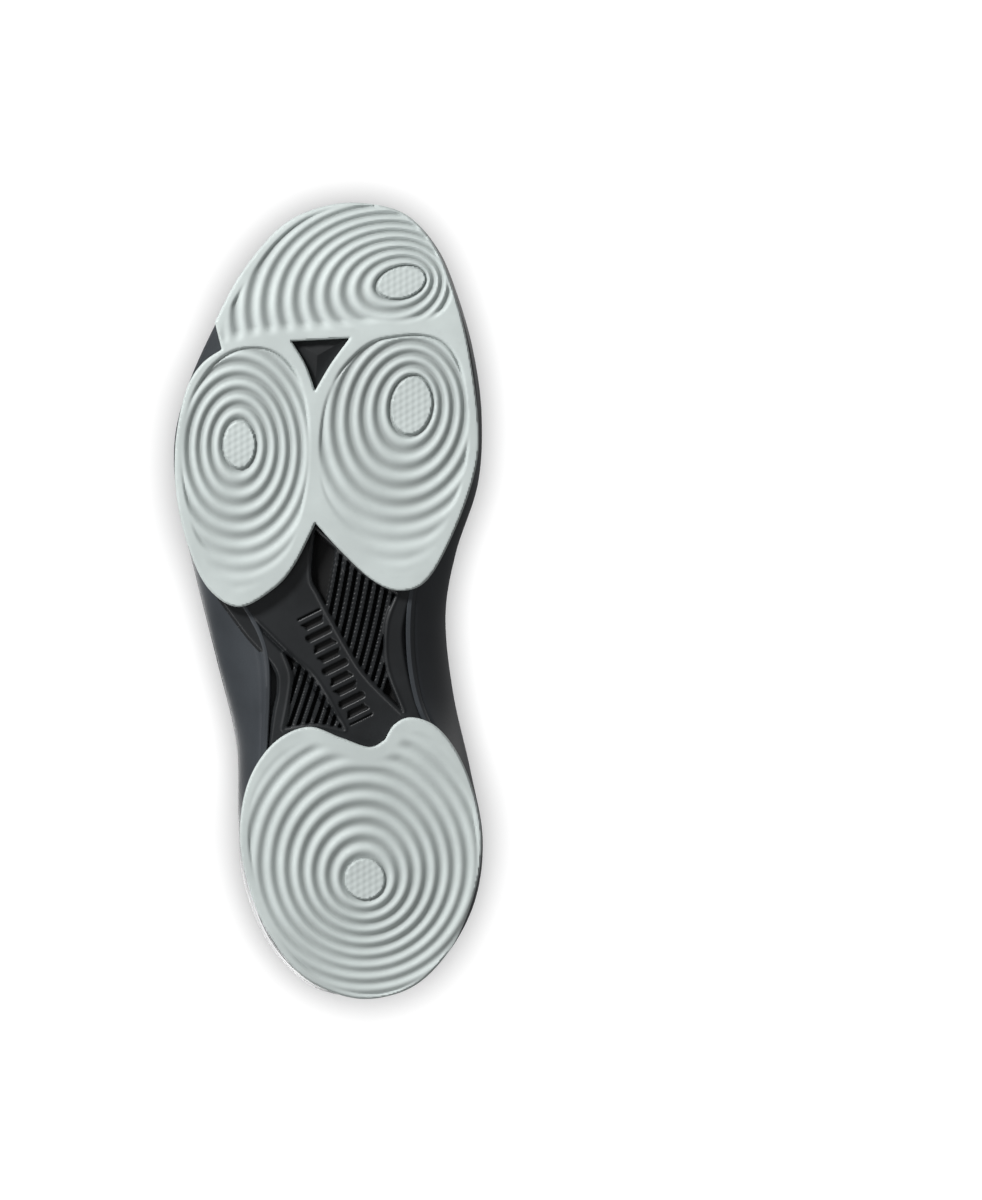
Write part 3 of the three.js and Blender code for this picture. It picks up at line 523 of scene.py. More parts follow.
class Finish:
    """One material, built from nodes."""

    def __init__(self, name):
        self.material = bpy.data.materials.new(name)
        self.material.use_nodes = True
        self.tree = self.material.node_tree
        self.shader = self.tree.nodes["Principled BSDF"]

    def node(self, kind, settings=None, values=None):
        """A node of any type: its settings are set first, then the values or links of its sockets."""
        node = self.tree.nodes.new(kind)
        for key, value in (settings or {}).items():
            setattr(node, key, value)
        for key, value in (values or {}).items():
            self.feed(node.inputs[key], value)
        return node

    def feed(self, socket, value):
        if isinstance(value, Amount):
            value = value.socket
        if isinstance(value, bpy.types.NodeSocket):
            self.tree.links.new(value, socket)
        elif isinstance(value, (tuple, list)) and len(value) == 3 and socket.type == "RGBA":
            socket.default_value = (*value, 1)
        else:
            socket.default_value = value

    def amount(self, kind, settings=None, values=None, output=0):
        return Amount(self, self.node(kind, settings, values).outputs[output])

    def place(self):
        """The point's place in the shoe's frame, in metres."""
        return self.node("ShaderNodeTexCoord").outputs["Object"]

    def stored(self, name):
        """A number kept on the mesh."""
        return self.amount("ShaderNodeAttribute", {"attribute_name": name}, output="Fac")

    def along(self, name="cloth"):
        """The two distances along a sheet, in millimetres, kept on the mesh."""
        split = self.node(
            "ShaderNodeSeparateXYZ",
            values={0: self.node("ShaderNodeAttribute", {"attribute_name": name}).outputs["Vector"]},
        )
        return Amount(self, split.outputs[0]), Amount(self, split.outputs[1])

    def noise(self, scale, detail=3.0, roughness=0.55, vector=None):
        values = {"Vector": vector or self.place(), "Scale": scale, "Detail": detail, "Roughness": roughness}
        return self.amount("ShaderNodeTexNoise", values=values)

    def blend(self, share, first, second):
        """A colour between two colours."""
        node = self.node("ShaderNodeMix", {"data_type": "RGBA"}, {"Factor": share, "A": first, "B": second})
        return node.outputs["Result"]

    def bump(self, height, strength=0.5, distance=0.0004, over=None):
        values = {"Height": height, "Strength": strength, "Distance": distance}
        if over is not None:
            values["Normal"] = over
        return self.node("ShaderNodeBump", values=values).outputs["Normal"]

    def close(self, **sockets):
        """Sets the shader's sockets and gives the material."""
        for key, value in sockets.items():
            self.feed(self.shader.inputs[key.replace("_", " ").title().replace("Ior", "IOR")], value)
        return self.material


def tint(colour, by):
    """A lighter or darker colour of the same hue."""
    return tuple(min(1.0, c * by) for c in colour)


def settings():
    return bpy.context.scene.court_shoe


def rubber_finish():
    """Pale moulded rubber: faint speckle, mould grain, and painted shade that darkens the grooves."""
    colour = tuple(settings().rubber_colour)
    f = Finish("pale_rubber")
    cloud = f.noise(38, 4)
    grain = f.noise(2600, 2)
    groove = f.stored("groove")
    wear = f.noise(210, 5, 0.7).above(0.5, 0.72) * (1 - groove)
    base = f.blend(cloud.above(0.35, 0.7), tint(colour, 0.93), tint(colour, 1.04))
    # Painted shade: the deeper a point lies in a groove, the darker the rubber's colour.
    base = f.blend(groove**2 * 0.8, base, tint(colour, 0.5))
    base = f.blend(wear * 0.16, base, tint(colour, 0.78))
    return f.close(
        base_color=base,
        roughness=0.52 + 0.14 * cloud + 0.08 * wear,
        normal=f.bump(grain, 0.22, 0.00006),
        specular_ior_level=0.3,
    )


def plate_finish(name="moulded_plate", share=1.0):
    """Dark moulded plastic with a fine satin texture, and painted shade that turns its pockets and sunk bars
    nearly black.
    """
    colour = tint(tuple(settings().plate_colour), share)
    f = Finish(name)
    cloud = f.noise(60, 4)
    spark = f.noise(1900, 2)
    base = f.blend(cloud.above(0.35, 0.7), tint(colour, 0.85), tint(colour, 1.2))
    groove = f.stored("groove")
    # Painted shade: pockets and sunk bars are blended to near black by how deep they lie.
    base = f.blend(groove * 0.95, base, tint(colour, 0.06))
    scuff = f.noise(320, 6, 0.75).above(0.62, 0.75)
    return f.close(
        base_color=base, roughness=0.34 + 0.12 * cloud + 0.12 * scuff + 0.4 * groove,
        normal=f.bump(spark, 0.25, 0.00008), specular_ior_level=0.4,
    )


def foam_finish():
    """Painted midsole foam: a soft satin skin with tiny dimples."""
    colour = tuple(settings().foam_colour)
    f = Finish("midsole_foam")
    cloud = f.noise(45, 4)
    pits = f.amount("ShaderNodeTexVoronoi", {"feature": "SMOOTH_F1"}, {"Vector": f.place(), "Scale": 1500})
    base = f.blend(cloud.above(0.3, 0.75), tint(colour, 0.86), tint(colour, 1.16))
    return f.close(base_color=base, roughness=0.44 + 0.14 * cloud, normal=f.bump(pits, 0.18, 0.00010))


def knit_pattern(f, wale, course):
    """The height of a plain knit: columns of small V's."""
    a, b = f.along()
    column = abs((a / wale).fraction() - 0.5) * 2
    loops = (2 * math.pi * (b / course + 0.45 * column)).sine()
    return (0.5 + 0.5 * loops) * (1 - column**4)


def knit_finish(name="upper_knit", share=1.0):
    """Dark engineered knit: fine V stitches, paler yarn on the ridges, and open cells."""
    colour = tint(tuple(settings().knit_colour), share)
    f = Finish(name)
    knit = knit_pattern(f, 1.15, 0.8)
    pits = f.stored("pits")
    heather = f.noise(420, 4, 0.7)
    base = f.blend(knit, tint(colour, 0.5), tint(colour, 1.25))
    base = f.blend(heather.above(0.55, 0.7) * 0.35, base, tint(colour, 2.1))
    base = f.blend(pits * 0.75, base, tint(colour, 0.3))
    return f.close(
        base_color=base, roughness=0.86 - 0.1 * heather, normal=f.bump(knit, 0.7, 0.00025), sheen_weight=0.25,
        sheen_roughness=0.45, specular_ior_level=0.3,
    )


def lining_finish(name="lining_textile", share=1.0):
    """Brushed lining cloth with a small diamond weave."""
    colour = tint(tuple(settings().lining_colour), share)
    f = Finish(name)
    a, b = f.along()
    diamonds = (2 * math.pi * (a + b) / 2.2).sine() * (2 * math.pi * (a - b) / 2.2).sine()
    fuzz = f.noise(900, 4, 0.7)
    base = f.blend(diamonds.above(-0.4, 0.7), tint(colour, 0.7), tint(colour, 1.25))
    base = f.blend(fuzz.above(0.5, 0.75) * 0.3, base, tint(colour, 1.9))
    return f.close(
        base_color=base, roughness=0.9 - 0.08 * fuzz, normal=f.bump(diamonds * 0.6 + fuzz, 0.55, 0.00025),
        sheen_weight=0.35, sheen_roughness=0.4, specular_ior_level=0.25,
    )


def sock_finish():
    """The sockliner's cover: pale grey-green brushed jersey, rubbed darker where the foot rests."""
    colour = tuple(settings().sock_colour)
    f = Finish("sockliner_cover")
    knit = knit_pattern(f, 1.3, 0.9)
    fuzz = f.noise(700, 4, 0.7)
    worn = f.noise(22, 3).above(0.45, 0.65)
    base = f.blend(knit, tint(colour, 0.72), tint(colour, 1.15))
    base = f.blend(worn * 0.3, base, tint(colour, 0.6))
    return f.close(
        base_color=base, roughness=0.9 - 0.06 * fuzz, normal=f.bump(knit + 0.5 * fuzz, 0.5, 0.0002),
        sheen_weight=0.3, sheen_roughness=0.5,
    )


def film_finish():
    """Thin welded film: satin, faintly grained, with scuffs."""
    colour = tuple(settings().film_colour)
    f = Finish("overlay_film")
    grain = f.amount("ShaderNodeTexVoronoi", {"feature": "SMOOTH_F1"}, {"Vector": f.place(), "Scale": 1150})
    cloud = f.noise(55, 4)
    scuff = f.noise(260, 7, 0.78).above(0.6, 0.74)
    base = f.blend(cloud.above(0.3, 0.7), tint(colour, 0.86), tint(colour, 1.14))
    base = f.blend(scuff * 0.25, base, tint(colour, 1.9))
    return f.close(
        base_color=base, roughness=0.34 + 0.2 * scuff + 0.08 * cloud, normal=f.bump(grain, 0.3, 0.00012),
    )


def board_finish():
    """Pressed fibre board."""
    f = Finish("fibre_board")
    fibre = f.noise(900, 6, 0.8)
    base = f.blend(fibre.above(0.35, 0.65), (0.36, 0.34, 0.29), (0.55, 0.53, 0.47))
    return f.close(base_color=base, roughness=0.9 - 0.1 * fibre, normal=f.bump(fibre, 0.5, 0.0002))


def thread_finish():
    """Twisted polyester thread."""
    colour = tuple(settings().thread_colour)
    f = Finish("sewing_thread")
    twist = f.noise(2400, 2)
    base = f.blend(twist.above(0.4, 0.6), tint(colour, 0.75), colour)
    return f.close(base_color=base, roughness=0.6 - 0.1 * twist, normal=f.bump(twist, 0.4, 0.0001))


def lace_finish():
    """Pale braided polyester, greyer between the strands."""
    colour = tuple(settings().lace_colour)
    f = Finish("lace_braid")
    a, b = f.along()
    turn, run = 3 * b / LACE_RADIUS, BRAID * a
    strands = abs((turn + run).sine()) * abs((turn - run).sine())
    fuzz = f.noise(1100, 4, 0.7)
    base = f.blend(strands, tint(colour, 0.55), colour)
    base = f.blend(fuzz.above(0.5, 0.7) * 0.2, base, tint(colour, 1.15))
    return f.close(
        base_color=base, roughness=0.8 - 0.1 * fuzz, normal=f.bump(fuzz, 0.4, 0.00015), sheen_weight=0.2,
        sheen_roughness=0.5,
    )


def tip_finish():
    """Clear hard plastic over the lace's end."""
    f = Finish("lace_tip")
    cloud = f.noise(500, 3)
    base = f.blend(cloud.above(0.35, 0.65), (0.05, 0.054, 0.056), (0.09, 0.096, 0.1))
    return f.close(base_color=base, roughness=0.18 + 0.1 * cloud, normal=f.bump(cloud, 0.15, 0.0001))


def ring_finish():
    """Blackened metal rings, rubbed bright in places."""
    f = Finish("eyelet_ring")
    rub = f.noise(800, 5, 0.7).above(0.58, 0.72)
    base = f.blend(rub, (0.05, 0.055, 0.06), (0.3, 0.32, 0.33))
    return f.close(
        base_color=base, metallic=0.6 + 0.3 * rub, roughness=0.32 + 0.12 * rub,
        normal=f.bump(rub, 0.15, 0.00005),
    )


def webbing_finish():
    """Ribbed polyester webbing."""
    colour = tuple(settings().webbing_colour)
    f = Finish("webbing")
    a, b = f.along()
    yarn = (2 * math.pi * b / 0.75).sine() * (2 * math.pi * a / 0.95).sine()
    fuzz = f.noise(1300, 4, 0.7)
    base = f.blend(yarn.above(-0.5, 0.7), tint(colour, 0.6), tint(colour, 1.2))
    return f.close(
        base_color=base, roughness=0.78 - 0.1 * fuzz, normal=f.bump(yarn + fuzz, 0.5, 0.0002),
        sheen_weight=0.25, sheen_roughness=0.4,
    )


# ---- Sole unit ----


def ring_number(x, y, field):
    """Which ring of a field of ripples passes through a point: 0 on the edge of its centre oval."""
    (cx, cy), (a, b) = field["centre"] + CENTRE, field["half"]
    (da, db), (mx, my) = field["grow"], field["drift"]
    lean = math.radians(field["lean"])
    c, s = math.cos(lean), math.sin(lean)
    low, high = np.full(x.shape, -1.0), np.full(x.shape, 24.0)
    for _ in range(22):
        n = (low + high) / 2
        dx, dy = x - cx - mx * n, y - cy - my * n
        outside = ((dx * c + dy * s) / (a + da * n)) ** 2 + ((dy * c - dx * s) / (b + db * n)) ** 2 > 1
        low, high = np.where(outside, n, low), np.where(outside, high, n)
    return (low + high) / 2


def honeycomb(x, y, pitch=2.3):
    """0 on the walls and 1 in the middle of each cell."""
    k = 2 * math.pi / pitch
    h = math.sqrt(3) / 2
    waves = np.cos(k * x) + np.cos(k * (x / 2 + h * y)) + np.cos(k * (h * y - x / 2))
    return ease((waves + 0.6) / 2.6)


def tread_cut(x, y, names, depth):
    """How deep the tread is cut at each point, from 0 on the lands and crests."""
    cut = np.zeros(x.shape)
    for name in names:
        field = RIPPLES[name]
        within = depth_inside(x, y, smooth_loop(field["field"]))
        n = ring_number(x, y, field)
        t = np.abs((n - field["first"] + 0.5) % 1 - 0.5) * 2
        wave = (0.5 - 0.5 * np.cos(math.pi * t)) ** 1.15
        wave *= 1 - field["fade"] * ease((n - 3.2) / 4)
        disc = ease((0.02 - n) / 0.06)
        ditch = bump_at(n, 0.14, 0.13)
        wave = np.maximum(wave, field["ditch"] * ditch)
        wave = wave * (1 - disc) + disc * (0.06 + 0.12 * honeycomb(x, y))
        extra, start, end = field["soft"]
        border = 1.3 + extra * ease((y - CENTRE[1] - start) / (end - start))
        cut = np.maximum(cut, depth * wave * ease((within + field["over"]) / border))
        if name in ("lateral", "medial"):
            # A crescent is cut along the field's toe end, and the whole field sinks towards the toe.
            crescent = bump_at(within, 0.5, 0.5) * ease((y - 78) / 12)
            cut = np.maximum(cut, 1.3 * crescent)
            cut += 0.3 * ease(within / 1.2) * ease((y - 40) / 40)
    return cut


def make_tread(name, loops, names, finish):
    depth = settings().tread_depth / MM
    seen = {}

    def underside(x, y, far):
        cut = tread_cut(x, y, names, depth)
        # How deep each point is cut: the rubber's finish paints shade into the grooves from this.
        seen["groove"] = np.clip(cut / depth, 0, 1)
        radius = 0.9
        edge = np.clip(radius - far, 0, radius)
        return lift(y) + cut + 0.05 + radius - np.sqrt(radius * radius - edge * edge)

    step = settings().relief_step / MM
    points, faces, count = relief(loops, step, underside, lambda x, y, far: lift(y) + TREAD)
    groove = np.concatenate([seen["groove"], np.zeros(count)])
    return make_piece(name, points, faces, finish, {"groove": groove})


def make_treads():
    rubber = rubber_finish()
    forefoot = make_tread(
        "tread_forefoot",
        [outline(FOREFOOT_TREAD), outline(TREAD_WINDOW)],
        ("lateral", "medial", "toe"),
        rubber,
    )
    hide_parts("outsole_toe", "outsole_ball")
    bend_with_forefoot(forefoot)
    heel = make_tread("tread_heel", [outline(HEEL_TREAD)], ("heel",), rubber)
    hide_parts("outsole_heel")
    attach(heel, "rearfoot")


def bend_with_forefoot(piece):
    """Bakes the piece's placement into its mesh; nothing bends it over the ball of the foot."""
    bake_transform(piece)


def plate_underside(x, y, far):
    """The underside of the midfoot plate: a strap and two arms, with ribbed windows between them."""
    medial = depth_inside(x, y, outline(MEDIAL_WINDOW))
    lateral = depth_inside(x, y, outline(LATERAL_WINDOW))
    window = np.maximum(medial, lateral)
    rise = PLATE_LOW + 0.15 + 1.1 * ease((1.6 - far) / 1.6) ** 2
    rise -= 0.35 * bump_at(window, -0.9, 0.45)
    # The ribs lean so that their toe ends lie nearer the medial side, and bow a little.
    run = x + 0.25 * (y + 14) - 0.0016 * (y + 14) ** 2
    phase = (run + 22.5) / 3.2
    rib = np.clip(0.95 + 1.2 * np.cos(2 * math.pi * phase), 0, 1)
    front_ribs = ease((phase + 1.4) * 3) * ease((8.5 - phase) * 3) * (medial > lateral)
    rear_ribs = ease((phase - 1.4) * 3) * ease((10.5 - phase) * 3) * (lateral > medial)
    ribs = rib * (front_ribs + rear_ribs)
    floor = 3.6 * ease(window / 0.7)
    tab = ease((medial - 0.3) / 0.3) * ease((4.2 - medial) / 0.3) * (medial > 0)
    tab *= ease((y - 4 + 0.9 * x) / 1.5)
    height = 2.9 + 0.4 * tab
    rise += floor - height * np.maximum(ribs, 0.8 * tab * front_ribs * (rib > 0.12)) * ease(window / 0.7)
    # A thin bead, with a groove beside it, runs down the strap's lateral edge.
    bead = [[29.3, -4.8], [15.9, -18.2], [7.7, -27.1], [-6.5, -48.0], [7.7, -27.1], [15.9, -18.2]]
    away, px, py = nearest(x, y, np.array(bead) + CENTRE)
    ends = ease((CENTRE[0] + 28.5 - px) / 3) * ease((px - CENTRE[0] + 5) / 3)
    rise -= ends * 0.65 * bump_at(away, 0, 0.5)
    beside = np.sign((x - px) + (py - y)) * away
    rise += ends * bump_at(beside, 1.3, 0.55)
    # Short bars sunk in a row along the strap.
    sx, sy = x - CENTRE[0] + 2.7, y - CENTRE[1] + 24.8
    turn = math.radians(63.5)
    along = sx * math.cos(turn) + sy * math.sin(turn)
    across = sy * math.cos(turn) - sx * math.sin(turn)
    spacing = 4.6
    slot = np.abs((along / spacing + 0.5) % 1 - 0.5) * spacing
    reach = 4.6 + 0.9 * np.cos(along * 0.9)
    bar = ease((1.5 - slot) / 0.7) * ease((reach - np.abs(across)) / 0.7) * ease((22.5 - np.abs(along)) / 0.5)
    bars = bar * (window < -0.8)
    # The bars' mask is returned too, so that the plate's finish can paint shade into them.
    return rise + 1.5 * bars, bars


def make_plate():
    seen = {}

    def underside(x, y, far):
        low, bars = plate_underside(x, y, far)
        # How deep each point sits in a pocket, or whether it lies in a sunk bar: the plate's finish paints
        # shade there from this.
        seen["deep"] = np.clip(np.maximum((low - PLATE_LOW - 1.3) / 1.8, bars), 0, 1)
        return np.minimum(low, PLATE_HIGH - 0.25)

    step = settings().relief_step / MM * 0.72
    points, faces, count = relief([outline(PLATE_EDGE)], step, underside, lambda x, y, far: PLATE_HIGH)
    deep = np.concatenate([seen["deep"], np.zeros(count)])
    plate = make_piece(
        "midfoot_plate", points, faces, plate_finish(), {"groove": deep}, crease=50,
    )
    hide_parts("shank_plate")
    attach(plate, "rearfoot")


def midsole_rings(around):
    """Rings from the hollow under the plate to the bottom edge, up the wall and down to the footbed."""
    u = np.arange(around) * STATIONS / around
    tuck = spline(BOTTOM_TUCK, u, True)
    foot, _ = edge_point(u)
    low = lift(foot[:, 1]) + TREAD + GAP
    rim = height_at(RIM, foot[:, 1])
    rings = []

    def ring(inset, z):
        at, _ = edge_point(u, inset)
        rings.append(np.column_stack([at, z]))

    band = 1.5 + 8.5 * ease((5 - tuck) / 2.5)
    roof = np.maximum(low + 0.4, PLATE_HIGH + GAP)
    ring(tuck + 0.6 + band + 0.2, roof)
    ring(tuck + 0.6 + band, low + 0.4)
    ring(tuck + 0.6 + band - 0.4, low)
    ring(tuck + 0.6 + 0.5, low)
    for t in np.linspace(0, 1, 56):
        flare = (1 - np.clip(t / 0.86, 0, 1)) ** 1.55
        inset = 0.5 + flare * tuck
        belly = 0.45 * math.sin(math.pi * min(1, t * 1.1))
        groove = 0.8 * bump_at(t, 0.82, 0.016) + 0.45 * bump_at(t, 0.07, 0.015)
        fine = 0.2 * (0.5 + 0.5 * np.cos(2 * math.pi * (t - 0.2) * 14))
        fine = fine * ease((t - 0.2) * 12) * ease((0.66 - t) * 12) * ease((4.5 - tuck) / 3)
        ring(inset - belly + groove + fine, low + (rim - 1.2 - low) * t)
    for turn in np.linspace(0, 1, 7)[1:]:
        angle = turn * math.pi / 2
        ring(0.5 + 1.2 * (1 - math.cos(angle)) + 0 * u, rim - 1.2 + 1.2 * math.sin(angle))
    ring(3.0 + 0 * u, rim)
    ring(3.6 + 0 * u, rim - 0.5)
    bed = height_at(FOOTBED, foot[:, 1])
    for t in (0.3, 0.7, 1.0):
        ring(3.8 + 1.4 * t + 0 * u, rim - 0.5 + (bed - rim + 0.5) * t)
    return np.array(rings)


def make_midsole():
    points, faces = loft(midsole_rings(900))
    foam = foam_finish()
    midsole = make_piece("midsole", points, faces, foam)
    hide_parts("midsole_front", "midsole_rear")
    bend_with_forefoot(midsole)
    loop = outline(BOSS)
    peak = np.array(BOSS_PEAK) + CENTRE
    count = len(loop)
    points = np.vstack([
        np.column_stack([loop, np.full(count, 6.2)]),
        np.column_stack([loop, np.full(count, 4.72)]),
        np.column_stack([loop * 0.9 + peak * 0.1, np.full(count, 4.1)]),
        [[*peak, 2.7], [*peak, 6.2]],
    ])
    faces = []
    for i in range(count):
        j = (i + 1) % count
        faces.append([i, count + i, count + j, j])
        faces.append([count + i, 2 * count + i, 2 * count + j, count + j])
        faces.append([2 * count + i, 3 * count, 2 * count + j])
        faces.append([j, 3 * count + 1, i])
    boss = make_piece("window_boss", points, faces, plate_finish("boss", 0.8), crease=12)
    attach(boss, "forefoot")


# ---- Upper: one smooth surface from the sole's edge to the collar and throat ----


def middle_x(y):
    """The middle of the foot drifts to the medial side at the heel."""
    return CENTRE[0] - 1 - 11.5 * np.clip((-20 - np.asarray(y, float)) / 110, 0, 1)


def board_high(y):
    """The top of the lasting board."""
    return height_at(FOOTBED, y) + GAP + LASTING_BOARD


def both_sides(rows):
    """The rows from heel to toe, and back again."""
    return np.vstack([rows, rows[-2:0:-1]])


def upper_point(u, v):
    """The upper's surface at station u and height share v, from 0 at the sole to 1 at the opening."""
    u, v = np.broadcast_arrays(np.asarray(u, float), np.asarray(v, float))
    turn = u % STATIONS
    row = np.where(turn <= TOE, turn, STATIONS - turn)
    opening = spline(both_sides(OPENING), row, True)
    half = spline(np.vstack([OPENING, OPENING[-2:0:-1] * [-1, 1, 1]])[:, 0], turn, True)
    sweep = spline(both_sides(SWEEP), row, True)
    foot, out = edge_point(turn, UPPER_INSET)
    y, z = opening[..., 1], opening[..., 2]
    base = np.stack([foot[..., 0], foot[..., 1], board_high(foot[..., 1]) + GAP], -1)
    edge = np.stack([middle_x(y) + half, y + CENTRE[1], z], -1)
    across = edge[..., :2] - base[..., :2]
    across /= np.linalg.norm(across, axis=-1, keepdims=True)
    leave = np.concatenate([out * sweep[..., 1:2], sweep[..., :1]], -1)
    arrive = np.concatenate([across * sweep[..., 2:3], sweep[..., 3:]], -1)
    v = v[..., None]
    v2, v3 = v * v, v * v * v
    return (
        base * (2 * v3 - 3 * v2 + 1) + leave * (v3 - 2 * v2 + v)
        + edge * (3 * v2 - 2 * v3) + arrive * (v3 - v2)
    )


def upper_normal(u, v, step=0.01):
    """The outward direction of the upper's surface."""
    v = np.clip(v, 0, 1)
    along = upper_point(u + step, v) - upper_point(u - step, v)
    up = upper_point(u, np.minimum(1, v + step)) - upper_point(u, np.maximum(0, v - step))
    normal = np.cross(along, up)
    return normal / np.linalg.norm(normal, axis=-1, keepdims=True)


def offset_point(u, v, distance):
    """The point at a distance outside (or, if negative, inside) the upper's surface."""
    u, v, distance = np.broadcast_arrays(*(np.asarray(a, float) for a in (u, v, distance)))
    return upper_point(u, v) + upper_normal(u, v) * distance[..., None]


def cloth_lengths(points):
    """The distances along both ways of a grid of points, for weaves."""
    along = np.linalg.norm(np.diff(points, axis=0), axis=-1).mean(1)
    up = np.linalg.norm(np.diff(points, axis=1), axis=-1)
    a = np.concatenate([[0], np.cumsum(along)])[:, None] + 0 * points[..., 0]
    b = np.concatenate([np.zeros((len(points), 1)), np.cumsum(up, 1)], 1)
    return np.stack([a, b, 0 * a], -1)


def collar_pad(u, v):
    """The padding behind the collar swells towards its rim and dies out ahead of the ankle."""
    turn = np.abs((np.asarray(u, float) + TOE) % STATIONS - TOE)
    along = np.clip((5.25 - turn) / 1.5, 0, 1)
    return 6 * along * np.clip((v - 0.5) * 3, 0, 1) * np.clip((1 - v) * 6, 0, 1)


BEHIND_SHELL = -SHELL - GAP


def lining_outer(u, v):
    """How far outside the upper's surface the lining's outer face lies (a negative distance)."""
    return BEHIND_SHELL - STIFFENER - GAP - collar_pad(u, v)


def make_sheet(name, nodes, us, vs, outer, inner, finish, keep=None, wrap=False, crease=40, extra=None):
    """A closed sheet that follows the upper, between two offsets that may vary with u and v."""
    u, v = np.meshgrid(us, vs, indexing="ij") if np.ndim(vs) == 1 else (us, vs)
    out = offset_point(u, v, outer(u, v) if callable(outer) else outer)
    back = offset_point(u, v, inner(u, v) if callable(inner) else inner)
    cloth = cloth_lengths(out)
    points, faces, used = shell(out, back, keep, wrap)
    attributes = {"cloth": np.concatenate([cloth.reshape(-1, 3)] * 2)[used]}
    for key, grid in (extra or {}).items():
        attributes[key] = np.concatenate([grid.ravel()] * 2)[used]
    piece = make_piece(name, points, faces, finish, attributes, crease)
    if nodes:
        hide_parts(*nodes)
    return piece


def fillet(far, radius):
    """The rise of a rounded edge, from 0 at the edge to 1 at radius from it."""
    return np.sqrt(1 - (1 - np.clip(far / radius, 0, 1)) ** 2)


def stretch(u, v):
    """Millimetres per station and per unit of height share, at points of the upper."""
    wide = np.linalg.norm(upper_point(u + 0.01, v) - upper_point(u - 0.01, v), axis=-1) / 0.02
    tall = np.linalg.norm(upper_point(u, v + 0.01) - upper_point(u, v - 0.01), axis=-1) / 0.02
    return wide, tall


def patch_grid(u0, u1, low, high, nu, nv, power=5.0):
    """A grid over a patch with rounded ends, and each point's distance from the patch's edge.

    low and high are the patch's edges as functions of the share along it, from -1 to 1.
    """
    s = np.sin(np.linspace(-1, 1, nu) * math.pi / 2)[:, None]
    t = np.sin(np.linspace(-1, 1, nv) * math.pi / 2)[None]
    share = np.sqrt(np.clip(1 - np.abs(s) ** power, 0.0004, 1))
    u = (u0 + u1) / 2 + (u1 - u0) / 2 * s + 0 * t
    lo, hi = low(s), high(s)
    v = (lo + hi) / 2 + (hi - lo) / 2 * share * t
    wide, tall = stretch(u, v)
    to_edge = (1 - np.abs(t)) * (hi - lo) / 2 * share * tall
    to_end = (1 - np.abs(s)) * (u1 - u0) / 2 * wide
    return u, v, np.minimum(to_edge, to_end)


def eyelet_stations():
    """Stations of the eyelets on the lateral side, evenly spaced along the throat, lowest first."""
    top, low = EYELET_SPAN
    us = np.linspace(low, top, 201)
    far = distances(upper_point(us, EYELET_V))
    wanted = far[-1] * np.arange(EYELET_PAIRS) / (EYELET_PAIRS - 1)
    return [us[np.argmax(far >= w - 1e-9)] for w in wanted]


def clear_of_eyelets(u, v, radius):
    """Which cells of a grid lie outside every eyelet."""
    points = upper_point(u, v)
    middle = (points[:-1, :-1] + points[1:, :-1] + points[1:, 1:] + points[:-1, 1:]) / 4
    keep = np.ones(middle.shape[:2], bool)
    for station in eyelet_stations():
        for at in (station, STATIONS - station):
            keep &= np.linalg.norm(middle - upper_point(at, EYELET_V), axis=-1) > radius
    return keep


def line_on_upper(us, vs, lift_off):
    """A line of points on the upper and the normals there, for stitching."""
    us, vs = np.broadcast_arrays(np.asarray(us, float), np.asarray(vs, float))
    return offset_point(us, vs, lift_off), upper_normal(us, vs)


def make_stitches(name, rows, finish, length=2.3, pitch=3.1, radius=0.3):
    """Rows of thread stitches. Each row is its points and the normals of what it is sewn to."""
    t = np.array([-1, -0.8, -0.3, 0.3, 0.8, 1])
    size = np.array([0.3, 0.8, 1, 1, 0.8, 0.3])
    sides = 6
    angle = np.arange(sides) * 2 * math.pi / sides
    points, faces = [], []
    for line, normals in rows:
        far = distances(line)

        def on_line(at, values):
            return np.array([np.interp(at, far, values[:, k]) for k in range(3)])

        for at in np.arange(pitch / 2, far[-1] - pitch / 2, pitch):
            first, last = on_line(at - length / 2, line), on_line(at + length / 2, line)
            normal = on_line(at, normals)
            normal /= np.linalg.norm(normal)
            way = last - first
            way /= np.linalg.norm(way)
            side = np.cross(normal, way)
            start = sum(len(p) for p in points)
            # The thread's ends dip into what it is sewn to.
            height = size[:, None] * np.sin(angle) * radius - (t * t)[:, None] * radius * 0.7
            ring = (
                (first + last) / 2
                + way * (t * length / 2)[:, None, None]
                + side * (size[:, None] * np.cos(angle))[..., None] * radius
                + normal * height[..., None]
            )
            points.append(ring.reshape(-1, 3))
            for r in range(len(t) - 1):
                for k in range(sides):
                    a, b = start + r * sides + k, start + r * sides + (k + 1) % sides
                    faces.append([a, a + sides, b + sides, b])
            faces.append([start + k for k in range(sides)])
            end = start + (len(t) - 1) * sides
            faces.append([end + k for k in reversed(range(sides))])
    return make_piece(name, np.concatenate(points), faces, finish, crease=80)


